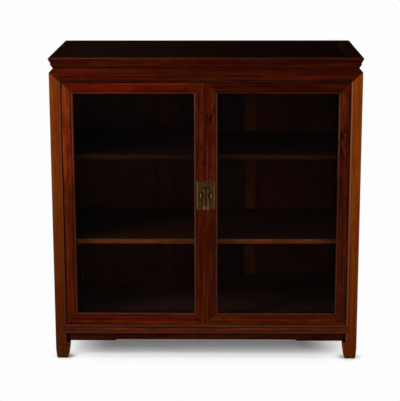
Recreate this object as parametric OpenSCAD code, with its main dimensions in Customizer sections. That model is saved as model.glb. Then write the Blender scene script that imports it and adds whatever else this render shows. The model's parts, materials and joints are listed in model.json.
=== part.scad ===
// Glazed two-door display cabinet in hardwood, waisted square-corner form.
// Every member is a separate solid: mitred top, one-piece waist and frieze boards, four
// rebated posts, framed back and sides, notched shelves and two mitred doors on pin pivots.
// Origin: on the floor, under the middle of the top. The doors face -Y, +X is to the right.
// Each length is in millimetres.

/* [Overall] */
// Width of the top, edge to edge
top_w = 960; // [820:5:1200]
// Depth of the top, edge to edge
top_d = 490; // [420:5:600]
// Height from the floor to the top surface
height = 962; // [930:1:1060]

/* [Top] */
// Thickness of the mitred frame of the top
top_t = 24.5; // [22:0.5:30]
// Width of a member of the top frame
top_member_w = 50; // [44:1:70]
// Overhang of the top past the faces of the posts
top_over = 1.5; // [0.5:0.5:4]
// How far the edge of the top slopes in below its arris
edge_slope = 5; // [3:0.5:8]
// Height of the upright fillet under the sloping edge of the top
edge_fillet = 7; // [4:0.5:9]
// Radius of the rounded arris of the top
arris_r = 3; // [1:0.5:5]
// Thickness of the floating panel in the top
top_panel_t = 13; // [11:0.5:16]
// Width of a batten under the top panel
batten_w = 30; // [20:1:45]
// Distance of each batten from the middle of the top
batten_x = 150; // [100:5:220]

/* [Waist and frieze] */
// Height of a frieze board, waist included
frieze_h = 50; // [46:0.5:60]
// Height of the upright face of the frieze, up to the shoulder
shoulder_h = 30.5; // [24:0.5:33]
// Height of the waist's deepest line below the top frame
waist_h = 8.5; // [6:0.5:12]
// Depth of the waist behind the face of the posts
waist_in = 11.5; // [10:0.5:15]
// Step in from the lower edge of the top to the waist
waist_step = 1.2; // [0.5:0.1:1.5]

/* [Posts] */
// Width and depth of a post
post_w = 44; // [42:0.5:52]
// Width of the face that a post shows beside its rebate
post_face = 34.5; // [33:0.5:38]
// Radius of a post's outer corner
corner_r = 2.5; // [1:0.5:4]
// Width of the bead along an inner edge
bead_w = 6; // [4:0.5:8]
// Width of the groove beside a bead
groove_w = 3.5; // [1.5:0.1:4]
// Height at which the outer faces of a foot begin to curve in
taper_z = 50; // [40:1:80]
// How far the outer faces of a foot curve in at the floor
taper_out = 3.5; // [1:0.5:9]
// How far the inner faces of a foot curve in at the floor
taper_in = 6.5; // [2:0.5:9]

/* [Base] */
// Height of the underside of the base rails above the floor
rail_z = 85; // [82:1:105]
// Height of a base rail
rail_h = 27.5; // [25:0.5:32]
// Height of an apron at its ends
apron_h = 28; // [22:1:36]
// Thickness of an apron
apron_t = 12; // [8:0.5:16]
// How far an apron stands behind the face of the posts
apron_set = 12; // [6:0.5:18]
// Rise of the apron's lower edge between its lobes
apron_rise = 4; // [2:0.5:8]
// Length of a lobe on the front apron
front_lobe = 144; // [90:2:200]
// Length of a lobe on a side apron
side_lobe = 66; // [40:2:90]
// Length of the curve from a lobe to the raised middle
ogee_l = 8; // [4:1:16]
// Thickness of the bottom board
board_t = 15; // [12:0.5:20]
// Height of the bottom board's top above the base rails, which stops the doors
sill_h = 8; // [5:0.5:10]

/* [Sides and back] */
// How far the side panels stand in from the face of the posts
panel_set = 10; // [7:0.5:12]
// How far the back frame stands in from the face of the posts
back_set = 16.5; // [12:0.5:20]
// Thickness of the back frame
back_t = 20; // [18:0.5:26]
// Width of the upper and lower rails of the back frame
back_rail_w = 30; // [24:1:50]
// Width of a back muntin
muntin_w = 37; // [28:1:50]
// Distance between the centre lines of the two muntins
muntin_gap = 295.5; // [260:0.5:330]
// Thickness of a back panel, raised field included
back_panel_t = 14; // [12:0.5:16]
// Width of the bevelled margin round the raised field of a back panel
margin_w = 13; // [8:1:25]
// Height of the raised field of a back panel
field_h = 4; // [2:0.5:5]
// Thickness of the tongue round a panel
tongue_t = 5; // [4:0.5:6]
// Length of the tongue round a panel
tongue_l = 6; // [4:0.5:7]
// Shadow gap round a floating panel
panel_gap = 0.8; // [0.4:0.1:1.5]

/* [Shelves] */
// Height of the upper shelf's top above the floor
upper_shelf_z = 656.5; // [600:0.5:720]
// Height of the lower shelf's top above the floor
lower_shelf_z = 385.5; // [320:0.5:440]
// Thickness of a shelf
shelf_t = 16; // [12:0.5:20]
// How far a shelf's front edge stands behind the face of the posts
shelf_set = 38.5; // [34:0.5:80]
// Radius on the long edges of a shelf's front
shelf_r = 2.5; // [1:0.5:5]
// Height of a shelf bearer
bearer_h = 20; // [14:1:30]
// Height of the head rail behind the frieze
head_rail_h = 30; // [24:1:40]
// How far the head rail stands below the frieze, which stops the doors
head_stop = 10; // [6:0.5:14]

/* [Doors] */
// Thickness of a door
door_t = 20; // [18:0.5:24]
// How far the doors stand behind the face of the posts
door_set = 3; // [1:0.5:4]
// Gap between a door and its post
side_gap = 1.5; // [1.3:0.1:2.5]
// Gap between the two doors
centre_gap = 1.5; // [1.2:0.1:3]
// Gap below a door
lower_gap = 1.5; // [1:0.1:3]
// Gap above a door
upper_gap = 2; // [1:0.1:3]
// Gap between a closed door and its stop
stop_gap = 1; // [0.8:0.1:2]
// Width of a door stile
stile_w = 35.5; // [32:0.5:44]
// Height of a door's upper rail
door_top_w = 34.5; // [32:0.5:44]
// Height of a door's lower rail
door_low_w = 37.5; // [32:0.5:50]
// Thickness of the wood in front of the glass
lip_t = 9; // [7:0.5:10]
// Width of the rebate for the glass
glass_rebate = 7; // [5:0.5:9]
// Thickness of the glass
glass_t = 4; // [3:0.5:5]
// Gap round the edge of the glass
glass_gap = 1; // [0.5:0.1:1.5]

/* [Pivots] */
// Radius of a pivot pin
pin_r = 3; // [2:0.1:3.4]
// Distance of the pivot axis from the edge and from the face of its door
pin_in = 6; // [5.8:0.1:6.2]
// Length of a pin in the door
pin_up = 20; // [12:1:30]
// Length of a pin in the rail or frieze
pin_out = 12; // [8:1:16]
// Radial play of a pin in its hole
pin_play = 0.06; // [0.02:0.01:0.1]
// Radius of the collar that carries a door
collar_r = 5; // [4.5:0.1:5.5]
// Radius of the front corner of a hinge stile
stile_front_r = 3; // [2.9:0.1:4]
// Radius of the back corner of a hinge stile
stile_back_r = 4; // [3.5:0.1:6]

/* [Brass] */
// Width of one half of the lock plate
plate_w = 27.5; // [24:0.5:32]
// Height of the lock plate
plate_h = 93; // [80:1:110]
// Thickness of the lock plate
plate_t = 1.5; // [1:0.1:2.5]
// Radius of the lock plate's outer corners
plate_r = 4.5; // [2:0.5:8]
// Height of the lock plate's middle above the floor
plate_z = 534.5; // [500:0.5:580]
// Distance of a lock loop from the middle of the cabinet
loop_x = 14; // [13:0.5:18]
// Width of a lock loop
loop_w = 7; // [5:0.5:8]
// Height of a lock loop
loop_h = 18; // [14:0.5:22]
// How far a lock loop stands out from its plate
loop_out = 10; // [9:0.5:11]
// Radius of the hole through a lock loop
loop_hole_r = 3; // [2.2:0.1:3.5]
// Thickness of a lock loop in front of its hole
loop_wall = 2.2; // [1.5:0.1:3]
// Radius of the tail of a lock loop
tail_r = 2; // [1.5:0.1:2.5]
// Length of the tail behind the plate
tail_l = 12; // [8:1:15]
// Height of the pulls' axis above the middle of the plate
pull_up = 23; // [20:0.5:30]
// Distance of a pull from the middle of the cabinet
pull_x = 5.8; // [5.3:0.1:6.2]
// Length of a pull below its axis
pull_l = 68; // [50:1:75]
// Greatest width of a pull
pull_w = 7.6; // [6:0.1:8]
// Thickness of a pull
pull_t = 2.6; // [2:0.1:3]
// Width of a pull's neck
neck_w = 3.4; // [3:0.1:3.5]
// Radius of the pull's eye round the staple
eye_r = 2.3; // [2.1:0.1:2.6]
// Radius of a pull's staple wire
wire_r = 1; // [0.8:0.05:1.1]
// Distance between the centre lines of a staple's legs
staple_w = 5.8; // [5.7:0.1:6.2]
// Distance of the staple's bar in front of the plate
wire_out = 3.2; // [2.8:0.1:3.6]
// Radial play of a pull on its staple
wire_play = 0.08; // [0.03:0.01:0.1]
// Radius of a nail head
nail_r = 1.7; // [1.2:0.1:2.2]
// Length of a nail behind its plate
nail_l = 7; // [4:0.5:10]
// Distance of the nails from the outer, upper and lower edges of the plate
nail_in = 4; // [3:0.5:5]
// Distance of the inner nails from the inner edge of the plate
inner_nail_in = 12; // [11:0.5:14]

/* [Hidden] */
$fn = 48;
eps = 0.01;
fit = 0.1;
end_gap = 1;
far = 2 * (top_w + top_d);
bx = top_w / 2 - top_over;
by = top_d / 2 - top_over;
under_top = height - top_t;
frieze_z = under_top - frieze_h;
rail_top = rail_z + rail_h;
apron_z = rail_z - apron_h;
rebate_foot = apron_z - 2;
rebate_d = door_set + door_t + stop_gap;
frieze_t = rebate_d;
rail_t = rebate_d;
board_top = rail_top + sill_h;
side_panel_t = rail_t - panel_set;
mitre_k = shoulder_h / post_face;
clear_x = bx - post_w;
clear_y = by - post_w;
back_y = by - back_set - back_t;
back_low = board_top;
back_high = frieze_z;
bead_r = bead_w / 2;
bead_band = bead_w + groove_w;
groove_a = 14;
point_d = bead_w;
tongue_room = tongue_t + 2 * fit;
groove_l = tongue_l + end_gap;

door_x = bx - post_face - side_gap;
door_w = door_x - centre_gap / 2;
door_z = rail_top + lower_gap;
door_h = frieze_z - upper_gap - door_z;
door_y = -by + door_set;
glass_w = door_w - 2 * stile_w;
glass_h = door_h - door_top_w - door_low_w;
pivot_x = door_x - pin_in;
pivot_y = door_y + pin_in;
plate_y = door_y - plate_t;
plate_x = centre_gap / 2;
pull_z = plate_z + pull_up;

WOOD = [0.36, 0.12, 0.05];
POST_WOOD = [0.5, 0.22, 0.07];
DARK_WOOD = [0.2, 0.07, 0.04];
BRASS = [0.5, 0.41, 0.2];
GLASS = [0.7, 0.8, 0.8, 0.3];

// Placing

// Extrudes an outline drawn in Y and Z along X, centred on the origin.
module along_x(length)
    translate([-length / 2, 0, 0]) rotate([90, 0, 90]) linear_extrude(length) children();

// Turns a piece made for the front, whose face lies on Y = 0, to one side of the carcass.
module to_front() translate([0, -by, 0]) children();
module to_back() rotate([0, 0, 180]) translate([0, -by, 0]) children();
module to_left() rotate([0, 0, -90]) translate([0, -bx, 0]) children();
module to_right() rotate([0, 0, 90]) translate([0, -bx, 0]) children();

// Outlines

function flipped(points) = [for (i = [len(points) - 1 : -1 : 0]) points[i]];

// A face of width w that ends in a sloping groove and a bead: [across, depth] pairs.
// The bead's arc starts at groove_a, which sets the depth of the groove beside it.
function edge_bead(w) = concat(
    [[w - bead_band, 0]],
    [for (i = [0 : 7]) let (a = groove_a + (180 - groove_a) * i / 7)
        [w - bead_r - bead_r * cos(a), bead_r - bead_r * sin(a)]]
);

// A quarter circle about [cx, cy], from angle a0 to a1.
function corner_arc(cx, cy, r, a0, a1, steps = 6) =
    [for (i = [0 : steps]) let (a = a0 + (a1 - a0) * i / steps) [cx + r * cos(a), cy + r * sin(a)]];

// Half of the curve by which a foot draws in, as [inset, height] pairs from the floor up.
function foot_curve(inset, from_z) =
    [for (i = [0 : 8]) let (t = i / 8) [inset * pow(1 - t, 2), from_z * t]];

// Top

// Section of a top member: [depth from the edge, height above the underside].
module top_section()
    polygon(concat(
        [[edge_slope + top_over, 0], [edge_slope + top_over, edge_fillet]],
        [[arris_r * 0.12, top_t - arris_r * 1.5]],
        corner_arc(arris_r, top_t - arris_r, arris_r, 180, 90),
        [[top_member_w, top_t], [top_member_w, top_t - top_panel_t + tongue_room]],
        [[top_member_w - groove_l, top_t - top_panel_t + tongue_room]],
        [[top_member_w - groove_l, top_t - top_panel_t]],
        [[top_member_w, top_t - top_panel_t], [top_member_w, 0]]
    ));

// One mitred member whose outer edge is half * 2 long.
module top_member(half)
    translate([0, -top_over, under_top])
        intersection() {
            along_x(2 * half) top_section();
            linear_extrude(top_t) polygon([
                [-half, 0], [half, 0],
                [half - top_member_w, top_member_w], [-half + top_member_w, top_member_w]
            ]);
        }

module top_rail_front() color(WOOD) to_front() top_member(top_w / 2);
module top_rail_back() color(WOOD) to_back() top_member(top_w / 2);
module top_rail_left() color(WOOD) to_left() top_member(top_d / 2);
module top_rail_right() color(WOOD) to_right() top_member(top_d / 2);

top_open_w = top_w - 2 * top_member_w;
top_open_d = top_d - 2 * top_member_w;

module top_panel()
    color(DARK_WOOD) {
        field_w = top_open_w - 2 * panel_gap;
        field_d = top_open_d - 2 * panel_gap;
        tongue_w = top_open_w + 2 * tongue_l;
        tongue_d = top_open_d + 2 * tongue_l;
        translate([-field_w / 2, -field_d / 2, height - top_panel_t + fit])
            cube([field_w, field_d, top_panel_t - fit]);
        translate([-tongue_w / 2, -tongue_d / 2, height - top_panel_t + fit])
            cube([tongue_w, tongue_d, tongue_t]);
    }

module top_battens()
    color(DARK_WOOD)
        for (side = [-1, 1])
            translate([side * batten_x - batten_w / 2, -top_open_d / 2, under_top])
                cube([batten_w, top_open_d, top_t - top_panel_t]);

// Waist and frieze

// Section of a frieze board: [depth from the face, height above the lower edge].
module frieze_section()
    polygon(concat(
        flipped([for (p = edge_bead(post_face)) [p[1], (post_face - p[0]) * mitre_k]]),
        [[0, shoulder_h - 2.5], [0.7, shoulder_h - 0.6]],
        [[waist_in, frieze_h - waist_h], [edge_slope + waist_step, frieze_h]],
        [[frieze_t, frieze_h], [frieze_t, 0]]
    ));

// A board whose lower ends meet the posts on a mitre and whose upper ends meet each other.
// half is half its length, measured on the face.
module frieze_board(half)
    translate([0, 0, frieze_z])
        intersection() {
            along_x(2 * half) frieze_section();
            translate([0, frieze_t, 0]) rotate([90, 0, 0]) linear_extrude(frieze_t)
                polygon([
                    [-half, shoulder_h], [-half + post_face, 0],
                    [half - post_face, 0], [half, shoulder_h],
                    [half, frieze_h], [-half, frieze_h]
                ]);
            linear_extrude(frieze_h) polygon([
                [-half, 0], [half, 0], [half - frieze_t, frieze_t], [-half + frieze_t, frieze_t]
            ]);
        }

module frieze_front()
    color(WOOD)
        difference() {
            to_front() frieze_board(bx);
            for (side = [-1, 1])
                translate([side * pivot_x, pivot_y, frieze_z - eps])
                    cylinder(r = pin_r + pin_play, h = pin_out + 2 + eps);
        }

module frieze_back() color(WOOD) to_back() frieze_board(bx);

module panel_groove_top(half)
    translate([-half, panel_mid - tongue_room / 2, frieze_z - eps])
        cube([2 * half, tongue_room, groove_l + eps]);

panel_mid = panel_set + side_panel_t / 2;

module frieze_left()
    color(WOOD) to_left() difference() { frieze_board(by); panel_groove_top(clear_y + groove_l); }

module frieze_right()
    color(WOOD) to_right() difference() { frieze_board(by); panel_groove_top(clear_y + groove_l); }

// Posts

// Section of a post above its foot, with its outer corner at the origin.
// rebate is the depth of the rebate behind the front or back face.
module post_section(rebate) {
    face = edge_bead(post_face);
    polygon(concat(
        flipped([for (p = face) [p[1], p[0]]]),
        corner_arc(corner_r, corner_r, corner_r, 180, 270),
        face,
        [[post_face, rebate], [post_w, rebate], [post_w, post_w]],
        [[panel_set, post_w], [panel_set, post_face]]
    ));
}

// Outline that draws a foot in: outer face on the left, inner face on the right.
module foot_outline()
    polygon(concat(
        [for (p = foot_curve(taper_out, taper_z)) p],
        [[0, under_top + eps], [post_w, under_top + eps]],
        flipped([for (p = foot_curve(taper_in, rebate_foot)) [post_w - p[0], p[1]]])
    ));

// The wedge above a post's mitred shoulder, on the side of the face at Y = 0.
module shoulder_cut()
    translate([0, frieze_t, frieze_z]) rotate([90, 0, 0]) linear_extrude(frieze_t + 1)
        polygon([
            [-1, shoulder_h + mitre_k], [0, shoulder_h], [post_face, 0], [post_w + 1, 0],
            [post_w + 1, frieze_h + 1], [-1, frieze_h + 1]
        ]);

// The pointed shoulder of a base rail: its mitred tip, outside the rail's square end.
module rail_point(depth)
    translate([0, depth, rail_z]) rotate([90, 0, 0]) linear_extrude(depth)
        polygon([
            [0, 0], [-bead_band, bead_band], [-bead_band, rail_h - bead_band], [0, rail_h]
        ]);

// Swaps the two horizontal axes, so that what is cut in the front is cut in the side too.
module swap_sides() mirror([1, -1, 0]) children();

module post(rebate, back_groove)
    difference() {
        intersection() {
            union() {
                linear_extrude(rebate_foot)
                    polygon(concat(
                        corner_arc(corner_r, corner_r, corner_r, 180, 270),
                        [[post_w, 0], [post_w, post_w], [0, post_w]]
                    ));
                translate([0, 0, rebate_foot])
                    linear_extrude(under_top - rebate_foot) post_section(rebate);
            }
            translate([0, post_w + 1, 0]) rotate([90, 0, 0])
                linear_extrude(post_w + 2) foot_outline();
            swap_sides() translate([0, post_w + 1, 0]) rotate([90, 0, 0])
                linear_extrude(post_w + 2) foot_outline();
        }
        shoulder_cut();
        swap_sides() shoulder_cut();
        translate([post_face, -eps, 0]) rail_point(point_d + eps);
        swap_sides() translate([post_face, -eps, 0]) rail_point(point_d + eps);
        // Groove for the side panel
        translate([panel_mid - tongue_room / 2, post_w - groove_l, rail_top - groove_l])
            cube([tongue_room, groove_l + 1, frieze_z - rail_top + 2 * groove_l]);
        // Groove for the back panels
        if (back_groove)
            translate([post_w - groove_l, back_mid - tongue_room / 2, back_low])
                cube([groove_l + 1, tongue_room, back_high - back_low]);
    }

back_mid = back_set + back_t / 2;

module post_front_left()
    color(POST_WOOD) translate([-bx, -by, 0]) post(rebate_d, false);
module post_front_right()
    color(POST_WOOD) mirror([1, 0, 0]) translate([-bx, -by, 0]) post(rebate_d, false);
module post_back_left()
    color(POST_WOOD) mirror([0, 1, 0]) translate([-bx, -by, 0]) post(back_set, true);
module post_back_right()
    color(POST_WOOD) rotate([0, 0, 180]) translate([-bx, -by, 0]) post(back_set, true);

// Ties the front posts behind the frieze and stops the doors.
module head_rail()
    color(DARK_WOOD)
        translate([-clear_x, -by + rebate_d, frieze_z - head_stop])
            cube([2 * clear_x, post_w - rebate_d, head_rail_h]);

// Base

// Section of a base rail: [depth from the face, height above the underside].
module rail_section()
    polygon(concat(
        flipped([for (p = edge_bead(rail_h)) [p[1], rail_h - p[0]]]),
        [for (p = edge_bead(rail_h)) [p[1], p[0]]],
        [[rail_t, rail_h], [rail_t, 0]]
    ));

// half is half the outer length between post faces; rebate is that of the posts it meets.
module base_rail(half, rebate) {
    reach = half - post_face;
    inner = half - post_w;
    difference() {
        translate([0, 0, rail_z]) along_x(2 * (reach + bead_band)) rail_section();
        for (side = [0, 1])
            mirror([side, 0, 0]) {
                // Behind the pointed shoulder
                translate([reach, point_d, rail_z - 1]) cube([far, far, rail_h + 2]);
                // Round the part of the post that stands behind its rebate
                translate([inner, rebate, rail_z - 1]) cube([far, far, rail_h + 2]);
                // Above and below the mitred tip
                translate([reach, point_d + 1, rail_z]) rotate([90, 0, 0])
                    linear_extrude(point_d + 2) polygon([
                        [0, 0], [bead_band, bead_band], [bead_band + 1, -1], [0, -1]
                    ]);
                translate([reach, point_d + 1, rail_z]) rotate([90, 0, 0])
                    linear_extrude(point_d + 2) polygon([
                        [0, rail_h], [bead_band, rail_h - bead_band],
                        [bead_band + 1, rail_h + 1], [0, rail_h + 1]
                    ]);
            }
    }
}

module base_rail_front()
    color(WOOD)
        difference() {
            to_front() base_rail(bx, rebate_d);
            for (side = [-1, 1])
                translate([side * pivot_x, pivot_y, rail_top - pin_out - 1])
                    cylinder(r = pin_r + pin_play, h = pin_out + 1 + eps);
        }

module base_rail_back() color(WOOD) to_back() base_rail(bx, back_set);

module panel_groove_low(half)
    translate([-half, panel_mid - tongue_room / 2, rail_top - groove_l])
        cube([2 * half, tongue_room, groove_l + eps]);

module base_rail_left()
    color(WOOD) to_left() difference() {
        base_rail(by, panel_set);
        panel_groove_low(clear_y + eps);
    }

module base_rail_right()
    color(WOOD) to_right() difference() {
        base_rail(by, panel_set);
        panel_groove_low(clear_y + eps);
    }

// Lower edge of an apron on its right half, from the raised middle out to the lobe.
function apron_edge(half, lobe) =
    [for (i = [0 : 8]) let (t = i / 8)
        [half - lobe - ogee_l + ogee_l * t, apron_rise * (1 + cos(180 * t)) / 2]];

module apron(half, lobe) {
    right = apron_edge(half, lobe);
    translate([0, apron_set + apron_t, apron_z]) rotate([90, 0, 0]) linear_extrude(apron_t)
        polygon(concat(
            right, [[half, 0], [half, apron_h], [-half, apron_h], [-half, 0]],
            flipped([for (p = right) [-p[0], p[1]]])
        ));
}

module apron_front() color(DARK_WOOD) to_front() apron(clear_x, front_lobe);
module apron_left() color(DARK_WOOD) to_left() apron(clear_y, side_lobe);
module apron_right() color(DARK_WOOD) to_right() apron(clear_y, side_lobe);

// Notched round the four posts; its front edge stands above the rail and stops the doors.
module bottom_board()
    color(WOOD) {
        half_w = bx - rail_t;
        half_d = by - rail_t;
        translate([0, 0, board_top - board_t])
            linear_extrude(board_t) {
                square([2 * clear_x, 2 * half_d], center = true);
                square([2 * half_w, 2 * clear_y], center = true);
            }
    }

// Sides and back

// A floating side panel, drawn as on the front: its outer face at panel_set from the post face.
module side_panel() {
    low = rail_top + panel_gap;
    high = frieze_z - panel_gap;
    half = clear_y - panel_gap;
    translate([-half, panel_set, low]) cube([2 * half, side_panel_t, high - low]);
    translate([-clear_y - tongue_l, panel_mid - tongue_t / 2, rail_top - tongue_l])
        cube([2 * (clear_y + tongue_l), tongue_t, frieze_z - rail_top + 2 * tongue_l]);
}

module side_panel_left() color(WOOD) to_left() side_panel();
module side_panel_right() color(WOOD) to_right() side_panel();

panel_low = back_low + back_rail_w;
panel_high = back_high - back_rail_w;

// A slot for panel tongues, along the frame opening from x0 to x1, at height z.
module tongue_slot_flat(x0, x1, z)
    translate([x0, back_mid - tongue_room / 2, z]) cube([x1 - x0, tongue_room, groove_l + eps]);

module back_rail_upper()
    color(WOOD) to_back()
        difference() {
            translate([-clear_x, back_set, panel_high]) cube([2 * clear_x, back_t, back_rail_w]);
            tongue_slot_flat(-far, far, panel_high - eps);
        }

// Its front is rebated over the bottom board, so that it reaches down to the base rail.
module back_rail_lower()
    color(WOOD) to_back()
        difference() {
            along_x(2 * clear_x) polygon([
                [back_set, rail_top], [rail_t, rail_top], [rail_t, back_low],
                [back_set + back_t, back_low], [back_set + back_t, panel_low],
                [back_set, panel_low]
            ]);
            tongue_slot_flat(-far, far, panel_low - groove_l);
        }

module back_muntin(side)
    to_back()
        difference() {
            translate([side * muntin_gap / 2 - muntin_w / 2, back_set, panel_low])
                cube([muntin_w, back_t, panel_high - panel_low]);
            for (edge = [-1, 1])
                translate([side * muntin_gap / 2 + edge * (muntin_w / 2 - groove_l / 2 + eps), 0, 0])
                    translate([-groove_l / 2, back_mid - tongue_room / 2, panel_low - 1])
                        cube([groove_l, tongue_room, panel_high - panel_low + 2]);
        }

module back_muntin_left() color(WOOD) back_muntin(1);
module back_muntin_right() color(WOOD) back_muntin(-1);

// A floating back panel between x0 and x1, with a field that is bevelled up from its margin.
module back_panel(x0, x1) {
    flat_t = back_panel_t - field_h;
    y0 = back_mid - tongue_t / 2;
    low = panel_low + panel_gap;
    high = panel_high - panel_gap;
    left = x0 + panel_gap;
    right = x1 - panel_gap;
    to_back() {
        translate([x0 - tongue_l, y0, panel_low - tongue_l])
            cube([x1 - x0 + 2 * tongue_l, tongue_t, panel_high - panel_low + 2 * tongue_l]);
        translate([left, back_mid - flat_t / 2, low]) cube([right - left, flat_t, high - low]);
        intersection() {
            translate([0, 0, low]) linear_extrude(high - low) polygon([
                [left, back_mid], [left, back_mid + flat_t / 2],
                [left + margin_w, back_mid + flat_t / 2 + field_h],
                [right - margin_w, back_mid + flat_t / 2 + field_h],
                [right, back_mid + flat_t / 2], [right, back_mid]
            ]);
            translate([left, 0, 0]) rotate([90, 0, 90]) linear_extrude(right - left) polygon([
                [back_mid, low], [back_mid + flat_t / 2, low],
                [back_mid + flat_t / 2 + field_h, low + margin_w],
                [back_mid + flat_t / 2 + field_h, high - margin_w],
                [back_mid + flat_t / 2, high], [back_mid, high]
            ]);
        }
    }
}

inner_edge = muntin_gap / 2 - muntin_w / 2;
outer_edge = muntin_gap / 2 + muntin_w / 2;

module back_panel_left() color(WOOD) back_panel(outer_edge, clear_x);
module back_panel_middle() color(WOOD) back_panel(-inner_edge, inner_edge);
module back_panel_right() color(WOOD) back_panel(-clear_x, -outer_edge);

// Shelves

shelf_gap = 0.5;

// A shelf notched round the posts, with its top at height z.
module shelf(z) {
    front = -by + shelf_set;
    back = back_y - shelf_gap;
    half = bx - rail_t - shelf_gap;
    notch = clear_x - shelf_gap;
    difference() {
        translate([0, 0, z - shelf_t])
            along_x(2 * half) polygon(concat(
                corner_arc(front + shelf_r, shelf_t - shelf_r, shelf_r, 90, 180),
                corner_arc(front + shelf_r, shelf_r, shelf_r, 180, 270),
                [[back, 0], [back, shelf_t]]
            ));
        for (side = [0, 1])
            mirror([side, 0, 0]) {
                translate([notch, -far - clear_y + shelf_gap, z - shelf_t - 1])
                    cube([far, far, shelf_t + 2]);
                translate([notch, clear_y - shelf_gap, z - shelf_t - 1])
                    cube([far, far, shelf_t + 2]);
            }
    }
}

module shelf_upper() color(WOOD) shelf(upper_shelf_z);
module shelf_lower() color(WOOD) shelf(lower_shelf_z);

// Bearers between the front and back posts of one side, one under each shelf.
module shelf_bearers(side)
    for (z = [upper_shelf_z, lower_shelf_z])
        translate([side > 0 ? clear_x : -bx + rail_t, -clear_y, z - shelf_t - bearer_h])
            cube([post_w - rail_t, 2 * clear_y, bearer_h]);

module shelf_bearers_left() color(WOOD) shelf_bearers(-1);
module shelf_bearers_right() color(WOOD) shelf_bearers(1);

// Doors

// Puts a door piece, drawn for the left door with its lower hinge corner at the origin
// and its face on Y = 0, into its place.
module left_door() translate([-door_x, door_y, door_z]) children();
module right_door() mirror([1, 0, 0]) translate([-door_x, door_y, door_z]) children();

// Section of a door member: [across from its outer edge, depth from its face].
module door_section(w)
    polygon(concat(
        [[0, 0]], edge_bead(w),
        [[w, lip_t], [w - glass_rebate, lip_t], [w - glass_rebate, door_t], [0, door_t]]
    ));

// Rounds the hinge edge of the door, so that it turns clear of the post.
module hinge_edge_cut() {
    translate([0, 0, -1]) linear_extrude(door_h + 2) {
        difference() {
            translate([-1, -1]) square([stile_front_r + 1, stile_front_r + 1]);
            translate([stile_front_r, stile_front_r]) circle(r = stile_front_r);
        }
        difference() {
            translate([-1, door_t - stile_back_r]) square([stile_back_r + 1, stile_back_r + 1]);
            translate([stile_back_r, door_t - stile_back_r]) circle(r = stile_back_r);
        }
    }
}

module pin_holes() {
    translate([pin_in, pin_in, -1]) cylinder(r = pin_r, h = pin_up + 1);
    translate([pin_in, pin_in, door_h - pin_up]) cylinder(r = pin_r, h = pin_up + 1);
}

// Outlines of the four mitred members, seen from the front.
module stile_outline()
    polygon([[0, 0], [stile_w, door_low_w], [stile_w, door_h - door_top_w], [0, door_h]]);
module low_outline()
    polygon([[0, 0], [door_w, 0], [door_w - stile_w, door_low_w], [stile_w, door_low_w]]);
module top_outline()
    polygon([
        [0, door_h], [door_w, door_h],
        [door_w - stile_w, door_h - door_top_w], [stile_w, door_h - door_top_w]
    ]);

// Extrudes a front outline through the thickness of the door.
module through_door()
    translate([0, door_t, 0]) rotate([90, 0, 0]) linear_extrude(door_t) children();

module hinge_stile()
    difference() {
        intersection() {
            linear_extrude(door_h) door_section(stile_w);
            through_door() stile_outline();
        }
        hinge_edge_cut();
        pin_holes();
    }

module meeting_stile()
    difference() {
        translate([door_w, 0, 0]) mirror([1, 0, 0])
            intersection() {
                linear_extrude(door_h) door_section(stile_w);
                through_door() stile_outline();
            }
        plate_holes();
    }

module door_rail(upper)
    difference() {
        intersection() {
            translate([door_w / 2, 0, upper ? door_h : 0]) mirror([0, 0, upper ? 1 : 0])
                along_x(door_w) rotate(90) mirror([0, 1])
                    door_section(upper ? door_top_w : door_low_w);
            through_door() {
                if (upper) top_outline();
                else low_outline();
            }
        }
        hinge_edge_cut();
        pin_holes();
    }

module glass()
    translate([stile_w - glass_rebate + glass_gap, lip_t, door_low_w - glass_rebate + glass_gap])
        cube([
            glass_w + 2 * (glass_rebate - glass_gap), glass_t,
            glass_h + 2 * (glass_rebate - glass_gap)
        ]);

// Four mitred strips that hold the glass in its rebate from behind, parted by an open mitre.
module glazing_beads() {
    x0 = stile_w - glass_rebate;
    x1 = door_w - x0;
    z0 = door_low_w - glass_rebate;
    z1 = door_h - door_top_w + glass_rebate;
    b = glass_rebate;
    j = fit;
    strips = [
        [[x0 + j, z0], [x1 - j, z0], [x1 - b - j, z0 + b], [x0 + b + j, z0 + b]],
        [[x1, z0 + j], [x1, z1 - j], [x1 - b, z1 - b - j], [x1 - b, z0 + b + j]],
        [[x1 - j, z1], [x0 + j, z1], [x0 + b + j, z1 - b], [x1 - b - j, z1 - b]],
        [[x0, z1 - j], [x0, z0 + j], [x0 + b, z0 + b + j], [x0 + b, z1 - b - j]]
    ];
    for (strip = strips)
        translate([0, door_t, 0]) rotate([90, 0, 0])
            linear_extrude(door_t - lip_t - glass_t) polygon(strip);
}

// A turned pin: shank in the door, collar in the gap and journal in the rail.
module pivot(gap)
    rotate_extrude() polygon([
        [0, -pin_out], [pin_r - 0.8, -pin_out], [pin_r, -pin_out + 0.8],
        [pin_r, -gap], [collar_r, -gap], [collar_r, 0],
        [pin_r, 0], [pin_r, pin_up], [0, pin_up]
    ]);

module pivots() {
    translate([pin_in, pin_in, 0]) pivot(lower_gap);
    translate([pin_in, pin_in, door_h]) mirror([0, 0, 1]) pivot(upper_gap / 2);
}

// Brass

// Distance across the door of a place given as a distance from the middle of the cabinet.
function from_middle(x) = door_x - x;
plate_low = plate_z - plate_h / 2 - door_z;
plate_far = plate_x + plate_w;

// Middles of the nails: [distance from the middle of the cabinet, height in the door].
nail_places = [
    for (x = [plate_x + inner_nail_in, plate_far - nail_in])
        for (z = [plate_low + nail_in, plate_low + plate_h - nail_in]) [x, z]
];
nail_shank_r = nail_r * 0.45;

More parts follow.
